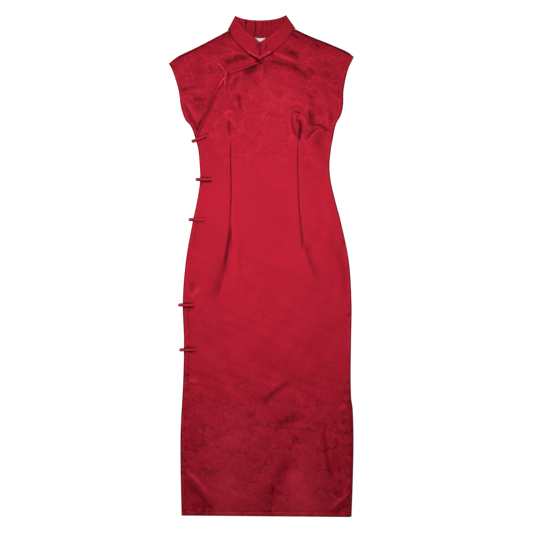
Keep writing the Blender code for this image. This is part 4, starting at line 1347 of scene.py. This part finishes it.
def side_frog(frog):
    edge = Vector((float(outer_left(frog.y)), frog.y))
    ahead = heading(frog.strip_angle)
    middle = edge - ahead * BALL_OFF_EDGE
    inside = edge + ahead * BALL_OFF_EDGE
    least = cloth_top(inside.x, inside.y)

    def on_cloth(x, y):
        return seat(x, y, SIDE_CORD_RADIUS, least)

    eye_z = 0.3 + EYE_CORD_RADIUS
    clear = BALL_RADIUS * BALL_LENGTH + EYE_CORD_RADIUS + 0.3
    ball_z = eye_z + math.sqrt(clear ** 2 - EYE_HALF_WIDTH ** 2)
    strip_end = BALL_OFF_EDGE + STRIP_LENGTH - SIDE_CORD_SPACING
    strip = hairpin(
        middle, frog.strip_angle, 0.5 * BALL_RADIUS, strip_end, SIDE_CORD_SPACING, on_cloth,
    )
    bound_at = BALL_RADIUS * BALL_LENGTH + 1.4
    bound = whipping(middle, frog.strip_angle, bound_at, SIDE_CORD_SPACING, on_cloth)
    eye = hairpin(
        edge, frog.strip_angle + 180, -1.0, BALL_OFF_EDGE, EYE_HALF_WIDTH, lambda x, y: eye_z, 0.7,
    )
    seam = seam_line(middle, ahead, np.arange(BALL_OFF_EDGE + 4.0, strip_end + 0.1, 1.0), on_cloth)
    knot = [tube(strip, SIDE_CORD_RADIUS)] + knotted_ball(middle, frog.strip_angle, ball_z) + bound
    half_width = SIDE_CORD_SPACING + SIDE_CORD_RADIUS
    spine = Spine(middle, ahead, strip_end, half_width, BALL_RADIUS, SIDE_FROG_LIGHT)
    return FrogPlan(frog.name, knot, [tube(eye, EYE_CORD_RADIUS)], [seam], spine, spine)


# Stitches, set out by Geometry Nodes along lines on the cloth

def stitch_tree():
    """A row of thread stitches along a line: spacing, length, thickness, slant and seed."""
    tree = bpy.data.node_groups.new("row_of_stitches", "GeometryNodeTree")
    make, given, shown = with_sockets(
        tree,
        [("Line", "Geometry", None), ("Spacing", "Float", None), ("Length", "Float", None),
         ("Thickness", "Float", None), ("Slant", "Float", None), ("Seed", "Int", None),
         ("Thread", "Material", None)],
        [("Stitches", "Geometry")],
    )
    curve = make.add("GeometryNodeMeshToCurve", {"Mesh": given["Line"]})
    points = make.add("GeometryNodeCurveToPoints", {
        "Curve": curve.outputs["Curve"], "Length": given["Spacing"],
    }, mode="LENGTH").outputs
    wander = make.add("FunctionNodeRandomValue", {
        2: -STITCH_WANDER, 3: STITCH_WANDER, "Seed": given["Seed"],
    }, data_type="FLOAT")
    angle = make.add("ShaderNodeCombineXYZ", {"Z": make.plus(given["Slant"], wander.outputs[1])})
    own = make.add("FunctionNodeEulerToRotation", {0: angle.outputs[0]})
    along = make.add("FunctionNodeAlignRotationToVector", {"Vector": points["Tangent"]}, axis="X")
    turned = make.add("FunctionNodeRotateRotation", {
        "Rotation": along.outputs[0], "Rotate By": own.outputs[0],
    }, rotation_space="LOCAL")
    bead = make.add("GeometryNodeMeshUVSphere", {"Segments": 6, "Rings": 5, "Radius": 0.5})
    size = make.add("ShaderNodeCombineXYZ", {
        "X": given["Length"], "Y": given["Thickness"], "Z": given["Thickness"],
    })
    put = make.add("GeometryNodeInstanceOnPoints", {
        "Points": points["Points"], "Instance": bead.outputs["Mesh"], "Rotation": turned.outputs[0],
        "Scale": size.outputs[0],
    })
    real = make.add("GeometryNodeRealizeInstances", {"Geometry": put.outputs["Instances"]})
    finish = make.add("GeometryNodeSetMaterial", {
        "Geometry": real.outputs["Geometry"], "Material": given["Thread"],
    })
    make.feed(shown["Stitches"], finish.outputs["Geometry"])
    return tree


def stitched(name, tree, lines, stitch, thread):
    """A mesh of stitches along polylines given in millimetres."""
    corners, edges = [], []
    for line in lines:
        first = len(corners)
        corners += [tuple(c * MM for c in p) for p in line]
        edges += [(first + i, first + i + 1) for i in range(len(line) - 1)]
    mesh = bpy.data.meshes.new(name)
    mesh.from_pydata(corners, edges, [])
    piece = add_piece(name, mesh, thread)
    row = piece.modifiers.new("stitches", "NODES")
    row.node_group = tree
    sockets = {s.name: s.identifier for s in tree.interface.items_tree if s.in_out == "INPUT"}
    values = {
        "Spacing": stitch.spacing * MM, "Length": stitch.length * MM,
        "Thickness": stitch.thickness * MM, "Slant": stitch.slant, "Seed": stitch.seed,
        "Thread": thread,
    }
    for word, value in values.items():
        row[sockets[word]] = value
    applied(piece)
    piece.data.shade_smooth()
    return piece


def line_beside(boundary, inset, low, high, side, step=4.0):
    """A line that runs up the cloth at one distance inside an edge."""
    points = []
    for y in np.arange(low, high + 0.1, step):
        slope = float(boundary(y + 1.0) - boundary(y - 1.0)) / 2.0
        long = math.sqrt(1.0 + slope * slope)
        x = float(boundary(y)) + side * inset / long
        at = float(y) - side * inset * slope / long
        points.append((x, float(slanted(x, at)), cloth_top(x, at)))
    return points


# Nodes and materials

class NodeMaker:
    """Shorthand for laying nodes and links in one tree."""

    def __init__(self, tree):
        self.tree = tree

    def add(self, kind, inputs=None, **settings):
        node = self.tree.nodes.new(kind)
        for name, value in settings.items():
            setattr(node, name, value)
        self.feed_all(node, inputs or {})
        return node

    def feed(self, socket, value):
        if isinstance(value, bpy.types.NodeSocket):
            self.tree.links.new(value, socket)
        else:
            socket.default_value = value

    def feed_all(self, node, inputs):
        for name, value in inputs.items():
            self.feed(node.inputs[name], value)

    def math(self, operation, *values):
        return self.add("ShaderNodeMath", dict(enumerate(values)), operation=operation).outputs[0]

    def plus(self, first, second):
        return self.math("ADD", first, second)

    def less(self, first, second):
        return self.math("SUBTRACT", first, second)

    def times(self, first, *others):
        for other in others:
            first = self.math("MULTIPLY", first, other)
        return first

    def scaled(self, value, share, start):
        """value times share, plus start."""
        return self.math("MULTIPLY_ADD", value, share, start)

    def most(self, first, second):
        return self.math("MAXIMUM", first, second)

    def smooth(self, value, low, high, start=0.0, end=1.0):
        """Changes smoothly from start to end as value goes from low to high."""
        return self.add("ShaderNodeMapRange", {
            "Value": value, "From Min": low, "From Max": high, "To Min": start, "To Max": end,
        }, interpolation_type="SMOOTHSTEP").outputs["Result"]

    def mix(self, factor, first, second):
        return self.add("ShaderNodeMix", {0: factor, 6: first, 7: second}, data_type="RGBA").outputs[2]

    def split(self, vector):
        return self.add("ShaderNodeSeparateXYZ", {"Vector": vector}).outputs

    def noise(self, place, scale, detail, roughness=0.5, distortion=0.0):
        return self.add("ShaderNodeTexNoise", {
            "Vector": place, "Scale": scale, "Detail": detail, "Roughness": roughness,
            "Distortion": distortion,
        }).outputs["Fac"]

    def place(self):
        """Where a point lies on its piece, in metres."""
        return self.add("ShaderNodeTexCoord").outputs["Object"]

    def painted_shade_and_highlight(self):
        return self.add("ShaderNodeAttribute", attribute_name="painted_shade_and_highlight").outputs["Fac"]

    def use(self, group, inputs):
        return self.add("ShaderNodeGroup", inputs, node_tree=group).outputs

    def bump(self, strength, distance, height):
        return self.add("ShaderNodeBump", {
            "Strength": strength, "Distance": distance, "Height": height,
        }).outputs["Normal"]


def with_sockets(tree, inputs, outputs):
    """Gives a new tree its sockets: a node maker, what it is given, and what it shows."""
    for word, kind, value in inputs:
        socket = tree.interface.new_socket(word, in_out="INPUT", socket_type="NodeSocket" + kind)
        if value is not None:
            socket.default_value = value
    for word, kind in outputs:
        tree.interface.new_socket(word, in_out="OUTPUT", socket_type="NodeSocket" + kind)
    make = NodeMaker(tree)
    return make, make.add("NodeGroupInput").outputs, make.add("NodeGroupOutput").inputs


def colour(rgb, shade=1.0):
    return (rgb[0] * shade, rgb[1] * shade, rgb[2] * shade, 1.0)


def leaf_layer(make, place, turn_by):
    """One scatter of pointed five-lobed leaves, and what is known at a point of each."""
    cells = make.add("ShaderNodeTexVoronoi", {"Vector": place, "Scale": 1.0, "Randomness": 0.55},
                     voronoi_dimensions="2D", feature="F1").outputs
    away = make.add("ShaderNodeVectorMath", {0: place, 1: cells["Position"]}, operation="SUBTRACT")
    spot = make.split(away.outputs[0])
    x, y = spot["X"], spot["Y"]
    random = make.add("ShaderNodeSeparateColor", {"Color": cells["Color"]}).outputs
    angle = make.plus(make.math("ARCTAN2", y, x), make.scaled(random[0], 2 * math.pi, turn_by))
    reach = make.math("SQRT", make.plus(make.times(x, x), make.times(y, y)))
    lobe = 2 * math.pi / LEAF_LOBES
    within = make.less(make.math("WRAP", angle, lobe, 0.0), lobe / 2)
    aside = make.math("ABSOLUTE", make.math("DIVIDE", within, lobe / 2))
    point = make.math("POWER", make.less(1.0, aside), 0.85)
    belly = make.math("POWER", make.math("COSINE", make.times(aside, math.pi / 2)), 0.5)
    blade = make.scaled(point, 0.30, make.times(belly, 0.70))
    size = make.scaled(random[1], 0.10, 0.49)
    tooth = make.math("SINE", make.times(angle, LEAF_TEETH))
    border = make.scaled(tooth, 0.022, make.times(size, make.scaled(blade, 0.48, 0.52)))
    inside = make.less(border, reach)
    out_along = make.times(reach, make.math("COSINE", within))
    across = make.math("ABSOLUTE", make.times(reach, make.math("SINE", within)))
    fan = make.times(make.math("ABSOLUTE", within), FAN_OF_VEINS)
    wave = make.math("SINE", make.less(fan, make.times(out_along, VEINS_PER_LEAF)))
    rib = make.smooth(across, 0.012, 0.034, 1.0, 0.0)
    # The side of each leaf turned from the light, where the leaf above throws its painted shadow
    tilt = 0.5 + turn_by
    below = make.less(make.times(x, math.sin(tilt)), make.times(y, math.cos(tilt)))
    under = make.math("DIVIDE", below, make.most(reach, 0.05))
    # Each lobe runs from dark to light as painted shade; each leaf mixes a random tone with painted shade
    # across it
    petal = make.times(make.scaled(within, 1 / lobe, 0.5), make.smooth(reach, 0.05, 0.22))
    shade = make.scaled(below, 0.5, make.times(random[2], 0.6))
    return Leaves(
        mask=make.smooth(inside, -0.010, 0.014),
        veins=make.most(make.smooth(wave, 0.3, 0.95), rib),
        inside=inside,
        shade=make.scaled(petal, 0.85, shade),
        under=make.smooth(under, 0.05, 0.75),
    )


def leaf_edge(make, leaves):
    """The bright line just inside a leaf's border: a woven outline kept to the side away from the painted
    shadow, so partly a painted highlight.
    """
    from_line = make.math("ABSOLUTE", make.less(leaves.inside, 0.03))
    return make.times(make.smooth(from_line, 0.005, 0.034, 1.0, 0.0), make.less(1.0, leaves.under))


def leaf_damask():
    """Woven five-lobed leaves that overlap and nearly cover the ground, each throwing a painted shadow on
    the leaves beneath.
    """
    tree = bpy.data.node_groups.new("leaf_damask", "ShaderNodeTree")
    make, given, shown = with_sockets(
        tree,
        [("Place", "Vector", None), ("Leaf Size", "Float", 0.05)],
        [(word, "Float") for word in ("Leaf", "Veins", "Outline", "Relief", "Shade")],
    )
    sized = make.add("ShaderNodeVectorMath", {
        0: given["Place"], "Scale": make.math("DIVIDE", 1.0, given["Leaf Size"]),
    }, operation="SCALE").outputs[0]
    flat = make.split(sized)
    bend = make.scaled(make.noise(sized, 2.1, 2.0), 0.36, -0.18)
    east = make.plus(flat["X"], bend)
    north = make.less(flat["Y"], bend)
    layers = []
    for shift, turn in LEAF_LAYERS:
        place = make.add("ShaderNodeCombineXYZ", {
            "X": make.scaled(east, math.cos(turn), make.scaled(north, -math.sin(turn), shift)),
            "Y": make.scaled(east, math.sin(turn), make.times(north, math.cos(turn))),
        })
        layers.append(leaf_layer(make, place.outputs[0], turn))
    leaf, veins, shade = layers[0].mask, layers[0].veins, layers[0].shade
    outline = leaf_edge(make, layers[0])
    relief = make.scaled(leaf, 0.5, 0.5)
    for over in layers[1:]:
        bare = make.less(1.0, over.mask)
        # The leaf above throws a painted shadow on the leaves beneath, on its side away from the light
        shadow = make.times(make.smooth(over.inside, -0.18, -0.03), over.under)
        veins = make.plus(make.times(veins, bare), make.times(over.veins, over.mask))
        shade = make.plus(make.times(shade, bare), make.times(over.shade, over.mask))
        relief = make.most(make.times(relief, make.scaled(shadow, -0.95, 1.0)), over.mask)
        leaf = make.most(leaf, over.mask)
        outline = make.most(make.times(outline, bare), leaf_edge(make, over))
    for word, value in (("Leaf", leaf), ("Veins", veins), ("Outline", outline),
                        ("Relief", relief), ("Shade", shade)):
        make.feed(shown[word], value)
    return tree


def fine_weave():
    """Threads of a close satin or tape weave, with soft clouds, mottle and grain."""
    tree = bpy.data.node_groups.new("fine_weave", "ShaderNodeTree")
    make, given, shown = with_sockets(
        tree,
        [("Place", "Vector", None), ("Thread", "Float", 0.0004), ("Unevenness", "Float", 0.3)],
        [(word, "Float") for word in ("Threads", "Cloudiness", "Mottle", "Grain")],
    )
    spot = make.split(given["Place"])
    per = make.math("DIVIDE", 2 * math.pi, given["Thread"])
    warp = make.math("SINE", make.times(spot["X"], per))
    weft = make.math("SINE", make.times(spot["Y"], make.times(per, 0.23)))
    threads = make.scaled(make.times(warp, make.scaled(weft, 0.35, 0.65)), 0.5, 0.5)
    slub = make.noise(given["Place"], 260.0, 2.0)
    make.feed(shown["Threads"], make.scaled(make.less(slub, 0.5), given["Unevenness"], threads))
    make.feed(shown["Cloudiness"], make.noise(given["Place"], 9.0, 3.0, 0.55))
    make.feed(shown["Mottle"], make.noise(given["Place"], 34.0, 4.0, 0.66, 0.9))
    make.feed(shown["Grain"], slub)
    return tree


def colour_with_painted_light():
    """A base colour with painted shade in hollows and painted highlight on ridges, by the fold value from
    -1 to 1.
    """
    tree = bpy.data.node_groups.new("colour_with_painted_light", "ShaderNodeTree")
    make, given, shown = with_sockets(
        tree, [("Base", "Color", None), ("Fold", "Float", 0.0)], [("Color", "Color")],
    )
    fold = given["Fold"]
    hollow = make.times(make.most(make.times(fold, -1.0), 0.0), 0.86)
    ridge = make.times(make.math("MINIMUM", make.most(fold, 0.0), 1.2), 0.60)
    deep = make.mix(make.math("MINIMUM", hollow, 0.96), given["Base"], colour(PAINTED_SHADE_RED))
    make.feed(shown["Color"], make.mix(ridge, deep, colour(PAINTED_HIGHLIGHT_RED)))
    return tree


def principled(name):
    material = bpy.data.materials.new(name)
    material.use_nodes = True
    shader = material.node_tree.nodes["Principled BSDF"]
    return material, shader, NodeMaker(material.node_tree)


def jacquard_satin(name, shade, shift, limp=1.0):
    """Red jacquard satin: bright leaves on a darker ground, with painted leaf shadows and painted crease
    shade and highlight; shade darkens a whole copy as painted shade, and limp cloth gets more painted
    mottled shade and sheen.
    """
    material, shader, make = principled(name)
    moved = make.add("ShaderNodeVectorMath", {0: make.place(), 1: shift}, operation="ADD")
    leaves = make.use(damask, {"Place": moved.outputs[0], "Leaf Size": LEAF_SIZE})
    cloth = make.use(weave, {"Place": make.place(), "Thread": 0.0005, "Unevenness": 0.3})
    up_the_dress = make.split(make.place())["Y"]
    on_skirt = make.smooth(up_the_dress, *SKIRT_FADE, 1.0, 0.0)
    on_chest = make.smooth(up_the_dress, *CHEST_FADE)
    at_bust = make.times(on_chest, on_chest)
    strength = make.plus(make.scaled(on_skirt, 0.94, 0.06), make.times(on_chest, 0.50))
    strength = make.times(strength, 0.4 + 0.6 * limp)
    # Painted shadows of the leaves, with the darker ground where no leaf lies
    gaps_and_leaf_shadows = make.times(strength, make.less(1.0, leaves["Relief"]), make.scaled(on_skirt, 0.54, 0.36))
    leaf_here = make.times(leaves["Leaf"], strength)
    veins_here = make.times(leaves["Veins"], leaf_here, 0.72)
    # Each leaf's random tone, with painted shade across it and its lobes
    shade_here = make.times(leaves["Shade"], leaf_here, 0.20)
    line_here = make.times(leaves["Outline"], strength, make.scaled(on_chest, 0.46, 0.40))
    clouds = make.smooth(cloth["Cloudiness"], 0.3, 0.7, 0.0, 0.12)
    red = colour(LEAF_RED, shade)
    for share, other in ((gaps_and_leaf_shadows, GROUND_AND_SHADE_RED), (veins_here, VEIN_RED), (shade_here, GROUND_AND_SHADE_RED),
                         (line_here, LINE_RED), (clouds, GROUND_AND_SHADE_RED)):
        red = make.mix(share, red, colour(other, shade))
    # Painted mottled shade and sheen of loose satin, strongest at the bust and skirt
    loose = make.plus(make.scaled(on_skirt, 0.14 * limp, 0.05), make.times(at_bust, 0.52 * limp))
    mottle = make.times(make.less(cloth["Mottle"], 0.5), loose)
    grain = make.times(make.less(cloth["Grain"], 0.5), 0.75)
    # The creases' painted shade and highlight, broken up by the mottle, with the weave's slub grain
    broken = make.times(make.painted_shade_and_highlight(), make.smooth(cloth["Mottle"], 0.32, 0.66, 1.15, 0.75))
    fold = make.plus(make.plus(broken, mottle), grain)
    relief = make.times(leaves["Relief"], strength)
    height = make.scaled(cloth["Threads"], 0.22, make.times(relief, 0.7))
    make.feed_all(shader, {
        "Base Color": make.use(folds, {"Base": red, "Fold": fold})["Color"],
        "Roughness": make.scaled(cloth["Threads"], 0.04, make.scaled(relief, -0.04, 0.53)),
        "Normal": make.bump(0.35, 0.0004, height),
        "Metallic": 0.55,
        "Specular IOR Level": 0.3,
        "Specular Tint": (1.0, 0.3, 0.36, 1.0),
        "Sheen Weight": 0.04,
        "Sheen Roughness": 0.4,
        "Sheen Tint": (1.0, 0.12, 0.2, 1.0),
    })
    return material


def cord_satin(name, red):
    """Plain satin wrapped round a soft cord, or sewing thread."""
    material, shader, make = principled(name)
    threads = make.use(weave, {"Place": make.place(), "Thread": 0.0006, "Unevenness": 0.8})["Threads"]
    base = make.mix(threads, colour(red, 0.85), colour(red, 1.1))
    make.feed_all(shader, {
        # The cords carry painted light and shade in their mesh
        "Base Color": make.use(folds, {"Base": base, "Fold": make.painted_shade_and_highlight()})["Color"],
        "Roughness": make.scaled(threads, 0.1, 0.42),
        "Normal": make.bump(0.4, 0.0003, threads),
        "Specular IOR Level": 0.5,
        "Specular Tint": (1.0, 0.15, 0.22, 1.0),
        "Sheen Weight": 0.05,
        "Sheen Tint": (1.0, 0.1, 0.2, 1.0),
    })
    return material


def woven_tape(name):
    material, shader, make = principled(name)
    threads = make.use(weave, {"Place": make.place(), "Thread": 0.0007, "Unevenness": 0.5})["Threads"]
    make.feed_all(shader, {
        "Base Color": make.mix(threads, colour(TAPE_WHITE, 0.9), colour(TAPE_WHITE)),
        "Roughness": make.scaled(threads, 0.15, 0.6),
        "Normal": make.bump(0.4, 0.0002, threads),
    })
    return material


# The floor, the lights and the camera

def build_floor():
    far, z = FLOOR_HALF, FLOOR_Z
    mesh = bpy.data.meshes.new("pale_floor")
    corners = [(-far, -far, z), (far, -far, z), (far, far, z), (-far, far, z)]
    mesh.from_pydata(corners, [], [(0, 1, 2, 3)])
    material, shader, make = principled("pale_floor")
    darker, lighter = FLOOR_GREYS
    grain = make.noise(make.place(), 3.0, 2.0)
    make.feed_all(shader, {
        "Base Color": make.mix(grain, colour(WHITE, darker), colour(WHITE, lighter)),
        "Roughness": 0.9,
        "Specular IOR Level": 0.0,
        "Emission Color": colour(WHITE),
        "Emission Strength": FLOOR_GLOW,
    })
    add_piece("pale_floor", mesh, material)


def build_lights():
    for lamp in LIGHTS:
        data = bpy.data.lights.new(lamp.name, "AREA")
        data.shape = "DISK"
        data.size = lamp.size
        data.energy = lamp.watts
        light = bpy.data.objects.new(lamp.name, data)
        light.location = lamp.place
        to_aim = Vector(lamp.aim) - Vector(lamp.place)
        light.rotation_euler = to_aim.to_track_quat("-Z", "Y").to_euler()
        bpy.context.scene.collection.objects.link(light)
    world = bpy.data.worlds.new("soft_room")
    world.use_nodes = True
    sky = world.node_tree.nodes["Background"]
    sky.inputs["Color"].default_value = colour(WHITE)
    sky.inputs["Strength"].default_value = 0.05
    bpy.context.scene.world = world


def build_camera():
    data = bpy.data.cameras.new("from_above")
    data.lens = LENS
    data.sensor_width = SENSOR
    data.dof.use_dof = False
    data.clip_end = 20.0
    camera = bpy.data.objects.new("from_above", data)
    height = PHOTO_SIDE * PIXEL * LENS / SENSOR
    camera.location = Vector((*PHOTO_MIDDLE, height + PHOTO_PLANE_Z)) * MM
    bpy.context.scene.view_settings.view_transform = "Standard"
    bpy.context.scene.collection.objects.link(camera)
    bpy.context.scene.camera = camera


# Putting the dress together

def on_frame(piece, slot, *nodes):
    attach(piece, "root")
    if nodes:
        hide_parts(*nodes)


build_camera()
build_lights()
build_floor()

damask = leaf_damask()
weave = fine_weave()
folds = colour_with_painted_light()
# The flap, back and collar are slightly darker copies of the front's satin, as painted shade
satin_front = jacquard_satin("jacquard_satin_front", 1.0, (0.0, 0.0, 0.0))
satin_flap = jacquard_satin("jacquard_satin_flap", 0.97, (0.31, 0.12, 0.0))
satin_back = jacquard_satin("jacquard_satin_back", 0.9, (0.17, 0.43, 0.0))
satin_collar = jacquard_satin("jacquard_satin_collar", 0.96, (0.55, 0.27, 0.0), 0.25)
corded = cord_satin("satin_cord", CORD_RED)
thread = cord_satin("sewing_thread", THREAD_RED)
tape = woven_tape("white_tape")

back, back_area = build_back(satin_back)
underflap, underflap_area = build_underflap(satin_flap)
front, front_area = build_front(satin_front)
collar, collar_flat, collar_area = build_collar(satin_collar)
label = build_label(tape)
on_frame(back, "satin", "back_panel")
on_frame(underflap, "satin", "front_underflap")
on_frame(front, "satin", "front_panel")
on_frame(collar, "satin", "collar")
on_frame(label, "label", "neck_label")

on_collar = COLLAR_FRONT_Z + COLLAR_WALL / 2 + 0.4
frogs = [front_frog(frog, on_collar if frog.y > NECK_PIT_Y else 0.0) for frog in FRONT_FROGS]
frogs += [side_frog(frog) for frog in SIDE_FROGS]
for plan in frogs:
    for part, parts, spine in (
        ("knot", plan.knot, plan.knot_spine), ("loop", plan.loop, plan.loop_spine),
    ):
        name = plan.name + "_" + part
        piece = add_piece(name + "_cord", joined_mesh(name + "_cord", parts, spine), corded)
        on_frame(piece, "cord", name)

tree = stitch_tree()
frog_seams = [seam for plan in frogs for seam in plan.seams]
frog_stitches = stitched("frog_stitches", tree, frog_seams, FROG_STITCH, thread)
hem_lines = [
    line_beside(outer_left, LEFT_SLIT_HEM, -600.0, -110.0, 1.0),
    line_beside(outer_right, RIGHT_SLIT_HEM, -600.0, -320.0, -1.0),
    line_beside(outer_right, SLEEVE_HEM, 345.0, 520.0, -1.0),
    line_beside(outer_left, SLEEVE_HEM, 345.0, 505.0, 1.0),
    [(float(x), float(slanted(x, HEM_Y + BOTTOM_HEM)), cloth_top(float(x), HEM_Y + BOTTOM_HEM))
     for x in np.arange(-185.0, 215.0, 4.0)],
]
hem_stitches = stitched("hem_stitches", tree, hem_lines, HEM_STITCH, thread)
on_frame(frog_stitches, "cord")
on_frame(hem_stitches, "satin")
